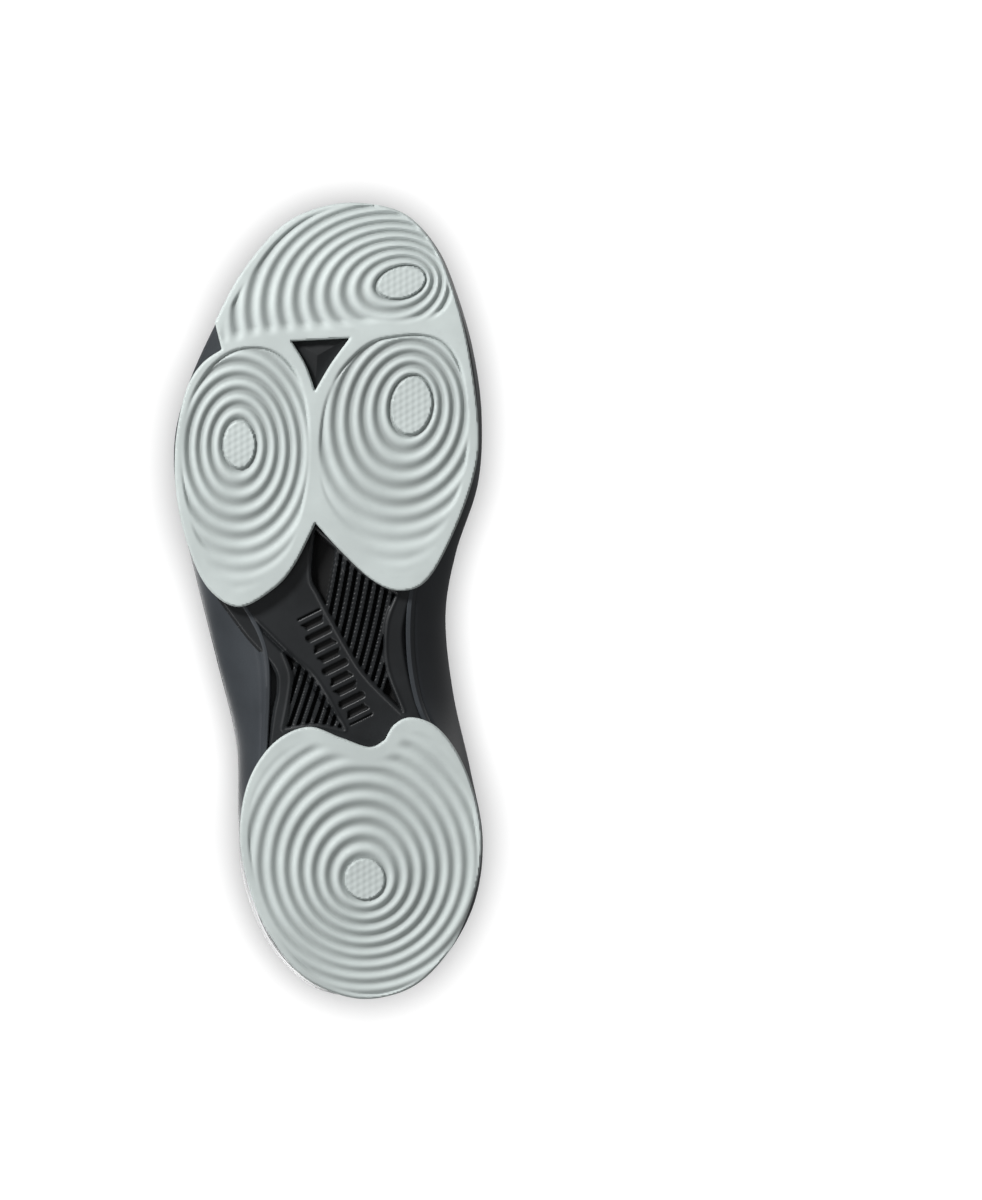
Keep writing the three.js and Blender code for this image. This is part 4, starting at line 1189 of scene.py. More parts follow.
def make_upper():
    mesh = knit_finish()
    us = np.arange(1080) * STATIONS / 1080
    vs = np.linspace(0, 1, 150)
    u, v = np.meshgrid(us, vs, indexing="ij")
    cloth = cloth_lengths(upper_point(u, v))
    a, b = cloth[..., 0], cloth[..., 1]
    # Staggered cells of an open knit, in bands that change in size from toe to heel.
    turn = np.where(u <= TOE, u, STATIONS - u)
    seam_at, sweep = SEAM
    pitch = 3.4
    cells = np.cos(2 * math.pi * a / pitch) * np.cos(2 * math.pi * b / (pitch * 1.35))
    open_part = ease((v - 0.2) / 0.06) * ease((0.76 - v) / 0.05)
    on_quarter = 0.55 * ease((7.9 - turn) / 0.4) * ease((turn - 3.2) / 0.5)
    open_part *= np.maximum(ease((turn - 8.6) / 0.5), on_quarter)
    pits = open_part * ease((cells - 0.15) / 0.6)
    ribs = (1 - open_part) * 0.5 * (0.5 + 0.5 * np.cos(2 * math.pi * b / 2.3))
    # The seam where the vamp goes under the quarter.
    seam = bump_at(turn, seam_at + sweep * (1 - v), 0.05) * ease((0.8 - v) / 0.03)
    outer = -0.42 * pits - 0.22 * ribs - 0.55 * seam
    keep = np.vstack([clear_of_eyelets(u, v, EYELET_HOLE), np.ones((1, len(vs) - 1), bool)])
    shell_piece = make_sheet(
        "upper_shell", ("vamp", "quarter_lateral", "quarter_medial"), u, v, lambda *_: outer, -SHELL, mesh,
        keep, True, 60, {"pits": pits},
    )
    bend_with_forefoot(shell_piece)
    vs = np.linspace(0, 0.985, 70)
    u, v = np.meshgrid(np.arange(420) * STATIONS / 420, vs, indexing="ij")
    keep = np.vstack([clear_of_eyelets(u, v, 3.6), np.ones((1, len(vs) - 1), bool)])
    lining = make_sheet(
        "lining", ("lining_toe", "lining_quarters"), u, v, lining_outer,
        lambda u, v: lining_outer(u, v) - LINING, lining_finish(), keep, True,
    )
    bend_with_forefoot(lining)
    board = board_finish()
    for name, node, middle, body in (
        ("toe_stiffener", "toe_puff", TOE, "forefoot"), ("counter", "heel_counter", 0, "rearfoot"),
    ):
        stiffener = make_sheet(
            name, (node,), np.linspace(middle - 3, middle + 3, 60), np.linspace(1 / 6, 1 / 2, 30),
            BEHIND_SHELL, BEHIND_SHELL - STIFFENER, board,
        )
        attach(stiffener, body)
    for name in ("lasting_board_front", "lasting_board_rear"):
        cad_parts[name].data.materials.clear()
        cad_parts[name].data.materials.append(board)


OVERLAY_BACK = -0.05  # overlays sink this little into the knit


def make_overlays():
    film = film_finish()
    moulded = plate_finish("support_plastic", 3.2)
    thread = thread_finish()

    # Toe guard: a film wrapped round the toe, with fine ridges that follow its upper edge.
    u, v, far = patch_grid(
        TOE - 4, TOE + 4, lambda s: 0.13 + 0 * s, lambda s: 0.36 - 0.05 * np.abs(s) ** 3, 420, 60,
    )
    ridge = 0.22 * (0.5 + 0.5 * np.cos(2 * math.pi * far / 2.1)) * ease((far - 1.2) / 0.8)
    guard = make_sheet(
        "toe_guard_film", ("toe_guard",), u, v, lambda *_: 0.06 + 1.35 * fillet(far, 1.2) - ridge,
        OVERLAY_BACK, film,
    )
    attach(guard, "forefoot")
    # Side wings: moulded supports that run up from the midsole, fluted along their height.
    for side, at in (("lateral", 6.0), ("medial", 24.0)):
        lean = 0.5 if side == "lateral" else -0.5
        u, v, far = patch_grid(
            at - 1.5, at + 1.5, lambda s: 0.17 + 0 * s, lambda s: 0.62 - 0.1 * s * s, 150, 130, 3.0,
        )
        across = (u - at - lean * (v - 0.4)) / 0.36
        flute = 0.9 * bump_at((across + 0.5) % 1 - 0.5, 0, 0.17) * ease((far - 2.6) / 1.4)
        wing = make_sheet(
            f"side_wing_{side}_moulding", (f"side_wing_{side}",), u, v,
            lambda *_: 0.06 + 1.7 * fillet(far, 1.6) - flute, OVERLAY_BACK, moulded,
        )
        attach(wing, "rearfoot")
    # Heel clip: a thicker cup with two sunk bands.
    u, v, far = patch_grid(-2.7, 2.7, lambda s: 0.16 + 0 * s, lambda s: 0.56 - 0.16 * s * s, 300, 110, 3.2)
    bands = 0.9 * bump_at(v, 0.32, 0.022) + 0.9 * bump_at(v, 0.42, 0.022)
    bands *= ease((far - 3) / 2)
    clip = make_sheet(
        "heel_clip_moulding", ("heel_clip",), u, v, lambda *_: 0.06 + 2.3 * fillet(far, 2.0) - bands,
        OVERLAY_BACK, moulded,
    )
    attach(clip, "rearfoot")
    # Eyestay: one horseshoe from the top eyelet on one side to the other, round the throat's base.
    first, last = EYESTAY_ENDS
    us = np.linspace(first, last, 760)
    ts = np.linspace(0, 1, 60)
    ends = np.clip(np.minimum(us - first, last - us) / 0.35, 0, 1)
    corner = 0.06 * (1 - np.sqrt(1 - (1 - ends) ** 2))
    low = 0.79 + corner
    u = us[:, None] + 0 * ts
    v = low[:, None] + (1.0 - low[:, None]) * ts
    wide, tall = stretch(u, v)
    far = np.minimum.reduce([
        (v - low[:, None]) * tall, (1 - v) * tall + 0.15, np.minimum(u - first, last - u) * wide + 0.1,
    ])
    stay = make_sheet(
        "eyestay", ("eyestay_lateral", "eyestay_medial"), u, v, lambda *_: 0.1 + 1.35 * fillet(far, 1.1),
        OVERLAY_BACK, film, clear_of_eyelets(u, v, EYELET_HOLE),
    )
    bend_with_forefoot(stay)
    rows = []
    along = np.linspace(first + 0.25, last - 0.25, 900)
    for rise in (0.813, 0.832):
        rows.append(line_on_upper(along, rise, 1.5))
    for end in (first + 0.13, last - 0.13):
        rows.append(line_on_upper(end, np.linspace(0.85, 0.985, 40), 1.5))
    bend_with_forefoot(make_stitches("eyestay_stitching", rows, thread))
    rows = []
    v = np.linspace(0.2, 0.77, 120)
    seam_at, sweep = SEAM
    for lateral in (True, False):
        for shift in (-0.14, 0.14, 0.24):
            turn = seam_at + sweep * (1 - v) + shift
            rows.append(line_on_upper(turn if lateral else STATIONS - turn, v, 0.0))
    bend_with_forefoot(make_stitches("vamp_stitching", rows, thread))


def soften(name, points, faces, voxel, cap, pressure=4.0):
    """The points and faces of a padded form after Cloth has blown it up by at most cap."""
    mesh = new_mesh(name, points, faces)
    form = bpy.data.objects.new(name, mesh)
    scene = bpy.context.scene
    scene.collection.objects.link(form)
    form.modifiers.new("voxels", "REMESH").voxel_size = voxel * MM
    graph = bpy.context.evaluated_depsgraph_get()
    body = bpy.data.meshes.new_from_object(form.evaluated_get(graph))
    form.modifiers.clear()
    form.data = body
    start = np.array([v.co for v in body.vertices], float)
    moved = start
    cloth = form.modifiers.new("cloth", "CLOTH").settings
    cloth.use_pressure = True
    cloth.uniform_pressure_force = pressure
    cloth.effector_weights.gravity = 0
    for frame_number in range(1, 21):
        scene.frame_set(frame_number)
    graph = bpy.context.evaluated_depsgraph_get()
    moved = np.array([v.co for v in form.evaluated_get(graph).data.vertices], float)
    form.modifiers.clear()
    scene.frame_set(1)
    way = moved - start
    far = np.linalg.norm(way, axis=1, keepdims=True)
    moved = start + way * np.minimum(1, cap * MM / np.maximum(far, 1e-12))
    body.vertices.foreach_set("co", moved.ravel())
    body.update()
    form.modifiers.new("round", "SUBSURF").levels = 1
    graph = bpy.context.evaluated_depsgraph_get()
    smooth = bpy.data.meshes.new_from_object(form.evaluated_get(graph))
    points = np.array([v.co for v in smooth.vertices], float) / MM
    faces = [list(p.vertices) for p in smooth.polygons]
    bpy.data.objects.remove(form)
    for used in (mesh, body, smooth):
        bpy.data.meshes.remove(used)
    return points, faces


def look_up(points, grid, values):
    """Values known on grid points, blended smoothly to other points nearby."""
    tree = KDTree(len(grid))
    for i, p in enumerate(grid):
        tree.insert(p, i)
    tree.balance()
    values = np.asarray(values, float)
    out = []
    for p in points:
        found = tree.find_n(p, 5)
        weights = [1 / (far * far + 1e-6) for _, _, far in found]
        out.append(values[[i for _, i, _ in found]].T @ weights / sum(weights))
    return np.array(out)


def make_collar():
    """The padded collar: a soft roll from inside the ankle, over the rim."""
    end = 5.7
    us = np.linspace(-end, end, 260)
    angle = np.linspace(0, 2 * math.pi, 40, endpoint=False)
    u = us[:, None] + 0 * angle
    taper = ease((end - np.abs(u)) / 1.5)
    depth = 2.6 + 4.2 * taper
    rise = 0.10 + 0.12 * taper
    c, s = np.cos(angle)[None], np.sin(angle)[None]
    v = 1.02 - rise + rise * np.sign(s) * np.abs(s) ** 0.8
    off = -1.5 - depth / 2 + depth / 2 * np.sign(c) * np.abs(c) ** 0.7 + 1.4 * ease((v - 0.985) / 0.03)
    points = offset_point(u, v, off)
    flat = points.reshape(-1, 3)
    soft, faces = soften("collar_form", flat, tube_faces(*u.shape, inward=True), 2.0, 1.6)
    known = np.stack([u.ravel(), v.ravel(), off.ravel(), np.broadcast_to(c < 0, u.shape).ravel()], 1)
    at_u, at_v, at_off, inner = look_up(soft, flat, known).T
    middle = offset_point(at_u, at_v, -3.5)
    # Sewn channels: one line along the inside and short ones across it round the heel.
    channel = bump_at(at_v, 0.90, 0.016)
    for place in (-3.6, -2.2, -0.8, 0.8, 2.2, 3.6):
        channel = np.maximum(channel, bump_at(at_u, place, 0.06) * (at_v < 0.90))
    toward = middle - soft
    toward /= np.maximum(np.linalg.norm(toward, axis=1, keepdims=True), 1e-6)
    soft = soft + toward * (channel * inner * 1.1)[:, None]
    cloth = np.stack([at_u * 15, at_v * 60 + at_off, 0 * at_u], 1)
    collar = make_piece(
        "collar_pad", soft, faces, lining_finish("collar_textile", 1.5), {"cloth": cloth}, 80
    )
    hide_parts("collar_padding")
    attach(collar, "rearfoot")


# ---- Tongue ----


def tongue_centre(s):
    """The tongue's row at s: y, z, half-width, thickness, and the outward direction in Y and Z."""
    row = spline(TONGUE, s)
    way = spline(TONGUE, np.minimum(len(TONGUE) - 1, s + 0.05)) - spline(TONGUE, np.maximum(0, s - 0.05))
    run = np.hypot(way[..., 0], way[..., 1])
    return row, way[..., 1] / run, -way[..., 0] / run


def tongue_end(s):
    """The tongue's corners are rounded at its top."""
    return 0.3 + 0.7 * np.sqrt(1 - np.clip((s - 6.7) / 1.3, 0, 1) ** 3)


def make_tongue():
    rows, across = 240, 64
    s = np.linspace(0, len(TONGUE) - 1, rows)[:, None]
    angle = np.linspace(0, 2 * math.pi, across, endpoint=False)[None]
    row, ny, nz = tongue_centre(s)
    y, z, half, thick = (row[..., k] for k in range(4))
    c, sn = np.cos(angle), np.sin(angle)
    half = half * tongue_end(s)
    x = half * np.sign(c) * np.abs(c) ** 0.75
    share = np.clip(np.abs(x / half), 0, 1)
    body = thick * (1 - 0.42 * share**2)
    level = np.sign(sn) * np.abs(sn) ** 0.9
    drop = TONGUE_ARCH * x * x + body * (0.5 - 0.5 * level)
    points = np.stack([middle_x(TONGUE_Y) + x, y + CENTRE[1] - ny * drop, z - nz * drop], -1)
    flat = points.reshape(-1, 3)
    soft, faces = soften("tongue_form", flat, tube_faces(rows, across), 1.25, 0.6)
    known = np.broadcast_arrays(s, half, sn > -0.2, ny, nz, x)[:5]
    at_s, at_half, outer, ny1, nz1 = look_up(soft, flat, np.stack([k.ravel() for k in known], 1)).T
    at_x = soft[:, 0] - middle_x(TONGUE_Y)
    inward = np.stack([0 * ny1, -ny1, -nz1], 1)
    edge = at_half - np.abs(at_x)
    channel = bump_at(edge, 3.2, 0.7) * (at_s > 0.4)
    for place in (5.1, 5.75, 6.4, 7.05):
        channel = np.maximum(channel, bump_at(at_s, place, 0.055) * (edge > 3.0))
    weave = 0.16 * np.cos(2 * math.pi * at_x / 2.6) * np.cos(2 * math.pi * at_s * 12 / 3.2)
    weave *= (at_s < 5) * (edge > 4)
    soft = soft + inward * ((channel * 0.95 + weave) * outer)[:, None]
    cloth = np.stack([at_x, at_s * 13, 0 * at_x], 1)
    tongue = make_piece(
        "tongue_pad", soft, faces, knit_finish("tongue_knit", 1.25), {"cloth": cloth}, 80,
    )
    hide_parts("tongue", "tongue_top")
    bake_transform(tongue)
    # A row of stitches down each side of the free top.
    rows = []
    line = np.linspace(5.0, 7.3, 60)
    row, ny, nz = tongue_centre(line)
    for side in (-1, 1):
        x = side * (row[:, 2] * tongue_end(line) - 3.2)
        drop = TONGUE_ARCH * x * x + row[:, 3] * 0.04
        at = [middle_x(TONGUE_Y) + x, row[:, 0] + CENTRE[1] - ny * drop, row[:, 1] - nz * drop]
        rows.append((np.stack(at, 1), np.stack([0 * ny, ny, nz], 1)))
    sewing = make_stitches("tongue_stitching", rows, thread_finish())
    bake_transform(sewing)


# ---- Lace, eyelets and pull tab ----


def basis(axis):
    """Two directions square to an axis and to each other."""
    axis = axis / np.linalg.norm(axis)
    side = np.cross(axis, [0.0, 0.0, 1.0])
    side /= np.linalg.norm(side)
    return side, np.cross(axis, side)


def lathe(profile, centre, axis, sides, closed):
    """Points and faces of a turned form. profile is rows of radius and height along the axis."""
    profile = np.asarray(profile, float)
    p, q = basis(axis)
    angle = np.arange(sides) * 2 * math.pi / sides
    circle = np.cos(angle)[:, None] * p + np.sin(angle)[:, None] * q
    axis = axis / np.linalg.norm(axis)
    points = centre + circle[None] * profile[:, None, :1] + axis * profile[:, None, 1:]
    n = len(profile)
    faces = []
    for r in range(n if closed else n - 1):
        for k in range(sides):
            a, b = r * sides, (r + 1) % n * sides
            faces.append([a + k, a + (k + 1) % sides, b + (k + 1) % sides, b + k])
    if not closed:
        faces.append(list(reversed(range(sides))))
        faces.append([(n - 1) * sides + k for k in range(sides)])
    return points.reshape(-1, 3), faces


BARREL_FOOT = -(SHELL + 2 * GAP + STIFFENER + LINING + 0.7)
SEAT = EYESTAY + 2.5 * GAP
LACE_TOP = EYESTAY + 3.5 * GAP + 0.8 + LACE_RADIUS
LACE_UNDER = BARREL_FOOT - LACE_RADIUS - 0.8


def make_eyelets():
    ring = ring_finish()
    curl = [(2.4 + 0.95 * (1 - math.cos(a)), SEAT + 0.75 * math.sin(a)) for a in np.linspace(0, math.pi, 13)]
    curl[-1] = (4.3, SEAT)
    profile = [(2.4, BARREL_FOOT), *curl, (4.25, SEAT - 0.5), (3.0, SEAT - 0.55), (3.0, BARREL_FOOT)]
    for k, station in enumerate(eyelet_stations()):
        for side, u in (("lateral", station), ("medial", STATIONS - station)):
            points, faces = lathe(profile, upper_point(u, EYELET_V), upper_normal(u, EYELET_V), 30, True)
            faces = [f[::-1] for f in faces]
            eyelet = make_piece(f"ring_{side}_{k + 1}", points, faces, ring)
            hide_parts(f"eyelet_{side}_{k + 1}")
            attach(eyelet, "rearfoot")


def over_throat(a, b, share, rise):
    """A point over the throat, at a share of the way from one eyelet to another, raised."""
    start, end = offset_point(a, EYELET_V, LACE_TOP), offset_point(b, EYELET_V, LACE_TOP)
    return start + (end - start) * share + [0, 0, rise]


def lace_half(start_side):
    """Half of the lace, from the middle of the lowest bar up through every eyelet to its end inside."""
    other = {"lateral": "medial", "medial": "lateral"}
    pairs = [{"lateral": u, "medial": STATIONS - u} for u in eyelet_stations()]

    def through(u):
        depths = (LACE_UNDER + 1.2, (LACE_UNDER + LACE_TOP) / 2, LACE_TOP - 1.2)
        return [offset_point(u, EYELET_V, depth) for depth in depths]

    first = pairs[0][start_side]
    route = [
        over_throat(pairs[0]["lateral"], pairs[0]["medial"], 0.5, 2.2),
        offset_point(first, EYELET_V + 0.07, LACE_TOP),
        *reversed(through(first)),
    ]
    side = start_side
    for k in range(1, EYELET_PAIRS):
        start, end = pairs[k - 1][side], pairs[k][other[side]]
        above = (side == "lateral") == (k % 2 == 0)
        if k == 1:
            route.append(offset_point(start, 1, LACE_UNDER))
        else:
            route.append(offset_point(start, EYELET_V + 0.07, LACE_TOP + 0.4))
        route.append(over_throat(start, end, 0.5, 1.7 if above else -1.7))
        if k == EYELET_PAIRS - 1:
            route.append(offset_point(end, EYELET_V + 0.07, LACE_TOP + 0.4))
            route += reversed(through(end))
            step = 2 if other[side] == "lateral" else -2
            for drop in (0.1, 0.2, 0.3):
                route.append(offset_point(end + step * drop, EYELET_V - drop, LACE_UNDER))
        else:
            route.append(offset_point(end, 1, LACE_UNDER))
            route += through(end)
        side = other[side]
    return route


def curve_through(points, step):
    """A centripetal Catmull-Rom curve through points, with a point every step or so."""
    points = np.asarray(points, float)
    p = np.vstack([2 * points[0] - points[1], points, 2 * points[-1] - points[-2]])
    out = []
    for a, b, c, d in zip(p[:-3], p[1:-2], p[2:-1], p[3:]):
        t0, t1, t2 = (max(math.sqrt(np.linalg.norm(q)), 1e-4) for q in (b - a, c - b, d - c))
        leave = ((b - a) / t0 - (c - a) / (t0 + t1) + (c - b) / t1) * t1
        arrive = ((c - b) / t1 - (d - b) / (t1 + t2) + (d - c) / t2) * t1
        count = max(3, int(np.linalg.norm(c - b) / step))
        f = np.arange(count)[:, None] / count
        f2, f3 = f * f, f * f * f
        out.append(
            b * (2 * f3 - 3 * f2 + 1) + leave * (f3 - 2 * f2 + f) + c * (3 * f2 - 2 * f3) + arrive * (f3 - f2)
        )
    return np.vstack([*out, points[-1:]])


def make_lace():
    """A braided oval lace, with a moulded tip at each end."""
    route = lace_half("lateral")[:0:-1] + lace_half("medial")
    path = even(curve_through(route, 0.3), LACE_STEP, False)
    way = np.gradient(path, axis=0)
    way /= np.linalg.norm(way, axis=1, keepdims=True)
    side = basis(way[0])[0]
    sides = 20
    angle = np.arange(sides) * 2 * math.pi / sides
    rings = []
    for k, (point, t) in enumerate(zip(path, way)):
        side = side - t * (side @ t)
        side /= np.linalg.norm(side)
        other = np.cross(t, side)
        far = k * LACE_STEP
        braid = np.abs(np.sin(3 * angle + far * BRAID)) * np.abs(np.sin(3 * angle - far * BRAID))
        radius = LACE_RADIUS + 0.12 - 0.26 * (1 - braid) ** 2
        across = side * (np.cos(angle) * radius * 1.18)[:, None]
        rings.append(point + across + other * (np.sin(angle) * radius * 0.92)[:, None])
    n = len(rings)
    cloth = np.stack([
        np.repeat(np.arange(n) * LACE_STEP, sides), np.tile(angle * LACE_RADIUS, n), np.zeros(n * sides),
    ], 1)
    lace = make_piece(
        "lace_braid", np.concatenate(rings), tube_faces(n, sides), lace_finish(),
        {"cloth": cloth}, 80,
    )
    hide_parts("lace")
    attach(lace, "rearfoot")
    tip = tip_finish()
    for name, end, before in (("lateral", path[0], path[1]), ("medial", path[-1], path[-2])):
        axis = (end - before) / np.linalg.norm(end - before)
        r = LACE_RADIUS * 0.85
        profile = [(r * 0.8, -0.6), (r, 0.0), (r, 0.6), (r * 0.86, 0.9), (r * 0.86, 1.4), (r, 1.8), (r, 12.4),
                   (r * 0.93, 13.4), (r * 0.7, 14.0), (r * 0.3, 14.25)]
        points, faces = lathe(profile, end, axis, 20, False)
        aglet = make_piece(f"lace_tip_{name}", points, faces, tip)
        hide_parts(f"aglet_{name}")
        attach(aglet, "rearfoot")


def make_pull_tab():
    """A tab of ribbed webbing, sewn down the heel at its foot and free above."""
    width, low, sewn, hinge, high, thick, middle = 15.0, 70.0, 81.0, 88.5, 113.0, 2.2, -142.5
    centre = middle_x(HEEL_Y)
    round_ = width / 2 - 2
    arc = []
    for a in np.linspace(math.pi, 0, 16):
        shift = round_ - width / 2 if a > math.pi / 2 else width / 2 - round_
        arc.append([shift + round_ * math.cos(a), high - round_ + round_ * math.sin(a)])
    right, left = width / 2, -width / 2
    shoulder = high - round_
    sides = [[[right, shoulder], [right, low]], [[right, low], [left, low]], [[left, low], [left, shoulder]]]
    loop = outline([*sides, arc], 0.5, (0, 0))

    def face(sign):
        def height(x, y, far):
            ribs = 0.17 * np.cos(2 * math.pi * x / 1.9) * np.sign(np.cos(2 * math.pi * y / 1.5) + 0.2)
            surface = (ribs - 0.12 * bump_at(far, 1.3, 0.35)) * ease(far / 1.2) * 0.7
            return sign * (thick / 2 * (0.35 + 0.6 * fillet(far, 1.1)) + surface)

        return height

    points, faces, _ = relief([loop], 0.3, face(-1), face(1))
    x, up, out = points[:, 0], points[:, 1], points[:, 2]
    # Below the hinge the strip lies on the heel.
    u, v = np.meshgrid(np.linspace(-1.2, 1.2, 240), np.linspace(0.5, 0.98, 260), indexing="ij")
    heel = upper_point(u, v).reshape(-1, 3)

    def on_heel(x, up):
        return look_up(np.column_stack([x, 0 * x, up]), heel * [1, 0, 1], heel[:, 1:2])[:, 0]

    rest = on_heel(centre + x, up) - (thick / 2 + 0.25)
    free = ease((up - sewn) / (hinge - sewn))
    placed = np.stack([centre + x, rest + (middle - rest) * free - out, up], 1)
    cloth = np.stack([x, up, 0 * x], 1)
    tab = make_piece("pull_tab", placed, faces, webbing_finish(), {"cloth": cloth}, 80)
    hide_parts("heel_tab")
    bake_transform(tab)
    # A box of stitches holds its foot.
    corners = [[5.6, 73], [-5.6, 73], [-5.6, 82], [5.6, 82], [5.6, 73]]
    box = outline([[a, b] for a, b in zip(corners, corners[1:])], 0.5, (0, 0))
    box = np.vstack([box, box[:1]])
    across = centre + box[:, 0]
    line = np.column_stack([across, on_heel(across, box[:, 1]) - thick - 0.35, box[:, 1]])
    rows = [(line, np.tile([0.0, -1.0, 0.0], (len(line), 1)))]
    sewing = make_stitches("pull_tab_stitching", rows, thread_finish(), 1.7, 2.2, 0.26)
    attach(sewing, "rearfoot")


def make_sockliner():
    """The drop-in sockliner: a moulded foam bed with a brushed knit cover, in two pieces at its bend."""
    cover = sock_finish()
    u = np.linspace(0, STATIONS, 400, endpoint=False)
    rim, _ = edge_point(u, 12.4)
    for name, node, body, low_y, high_y in (
        ("sockliner_heel", "sockliner_rear", "sockliner", -200, 67.0),
        ("sockliner_toe", "sockliner_front", "forefoot", 74.15, 200),
    ):
        loop = rim.copy()
        loop[:, 1] = np.clip(loop[:, 1], low_y, high_y)
        loop = even(loop[np.any(np.diff(np.vstack([loop, loop[:1]]), axis=0) != 0, axis=1)], 1.2)

        def under(x, y, far):
            return board_high(y) + GAP + 1.2 * (1 - fillet(far, 1.5))

        def over(x, y, far):
            cup = 1.1 * ease((14 - far) / 14) ** 2
            dots = 0.28 * ease((np.cos(2 * math.pi * x / 5.2) * np.cos(2 * math.pi * y / 5.2) - 0.55) / 0.35)
            return board_high(y) + GAP + 3.3 + cup - 1.4 * (1 - fillet(far, 1.4)) - dots * ease((far - 5) / 3)

        points, faces, _ = relief([loop], 0.8, under, over)
        cloth = np.stack([points[:, 0], points[:, 1], 0 * points[:, 0]], 1)
        bed = make_piece(name, points, faces, cover, {"cloth": cloth}, 60)
        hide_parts(node)
        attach(bed, body)


# ---- Studio ----


def one_sided(name, colour, show_back):
    """A pale matt surface that is seen from one side only."""
    f = Finish(name)
    f.close(base_color=colour, roughness=0.9)
    clear = f.node("ShaderNodeBsdfTransparent").outputs[0]
    back = Amount(f, f.node("ShaderNodeNewGeometry").outputs["Backfacing"])
    share = (1 - back) if show_back else back
    mixed = f.node("ShaderNodeMixShader", values={0: share, 1: f.shader.outputs[0], 2: clear})
    f.tree.links.new(mixed.outputs[0], f.tree.nodes["Material Output"].inputs["Surface"])
    return f.material


def make_plane(name, z, half, material):
    """A level sheet that the camera sees, but that neither shades the shoe nor shows in it."""
    mesh = bpy.data.meshes.new(name)
    corners = [(-half, -half, z), (half, -half, z), (half, half, z), (-half, half, z)]
    mesh.from_pydata(corners, [], [(0, 1, 2, 3)])
    mesh.materials.append(material)
    plane = bpy.data.objects.new(name, mesh)
    bpy.context.scene.collection.objects.link(plane)
    plane.visible_shadow = False
    plane.visible_diffuse = False
    plane.visible_glossy = False
    return plane


def make_lamp(name, place, size, power, lights):
    """A round soft lamp that points at the shoe. lights is the collection that it lights or spares."""
    light = bpy.data.lights.new(name, "AREA")
    light.shape = "DISK"
    light.size = size
    light.energy = power
    lamp = bpy.data.objects.new(name, light)
    lamp.location = place
    lamp.rotation_mode = "QUATERNION"
    lamp.rotation_quaternion = (Vector((0, 0, 0.03)) - Vector(place)).to_track_quat("-Z", "Y")
    bpy.context.scene.collection.objects.link(lamp)
    lamp.visible_camera = False
    lamp.light_linking.receiver_collection = lights


def paper_only(name, plane, state):
    """A light-linking collection with the backdrop alone, lit or spared."""
    collection = bpy.data.collections.new(name)
    collection.objects.link(plane)
    collection.collection_objects[0].light_linking.link_state = state
    return collection


def make_studio():
    """White paper below and above the shoe, five soft lamps, and a camera that looks straight up."""
    scene = bpy.context.scene
    scene.view_settings.view_transform = "Standard"
    world = bpy.data.worlds.new("studio")
    scene.world = world
    world.use_nodes = True
    world.node_tree.nodes["Background"].inputs[0].default_value = (1, 1, 1, 1)
    world.node_tree.nodes["Background"].inputs[1].default_value = 0.19
    pale = (0.9, 0.9, 0.9)
    make_plane("floor", -0.0005, 6.0, one_sided("floor_paper", pale, False))
    backdrop = make_plane("backdrop", 0.128, 6.0, one_sided("backdrop_paper", pale, True))
    spare = paper_only("all_but_backdrop", backdrop, "EXCLUDE")
    only = paper_only("backdrop_alone", backdrop, "INCLUDE")
    make_lamp("key", (0.98, 1.03, -1.06), 0.42, 36, spare)
    make_lamp("fill", (1.0, -0.8, -1.1), 0.9, 7, spare)
    make_lamp("paper", (-0.061, 0.0, -4.0), 0.95, 180, only)
    make_lamp("top", (0.6, -0.6, 1.5), 1.0, 20, spare)
    make_lamp("back", (-0.9, 0.7, 1.1), 0.8, 5, spare)
    camera = bpy.data.cameras.new("camera")
    camera.lens = 280
    camera.sensor_width = 36
    camera.clip_end = 20
    holder = bpy.data.objects.new("camera", camera)
    holder.location = (-0.061, 0.0, -3.508)
    holder.rotation_euler = (0, math.pi, 0)
    scene.collection.objects.link(holder)
    scene.camera = holder


# ---- The add-on ----


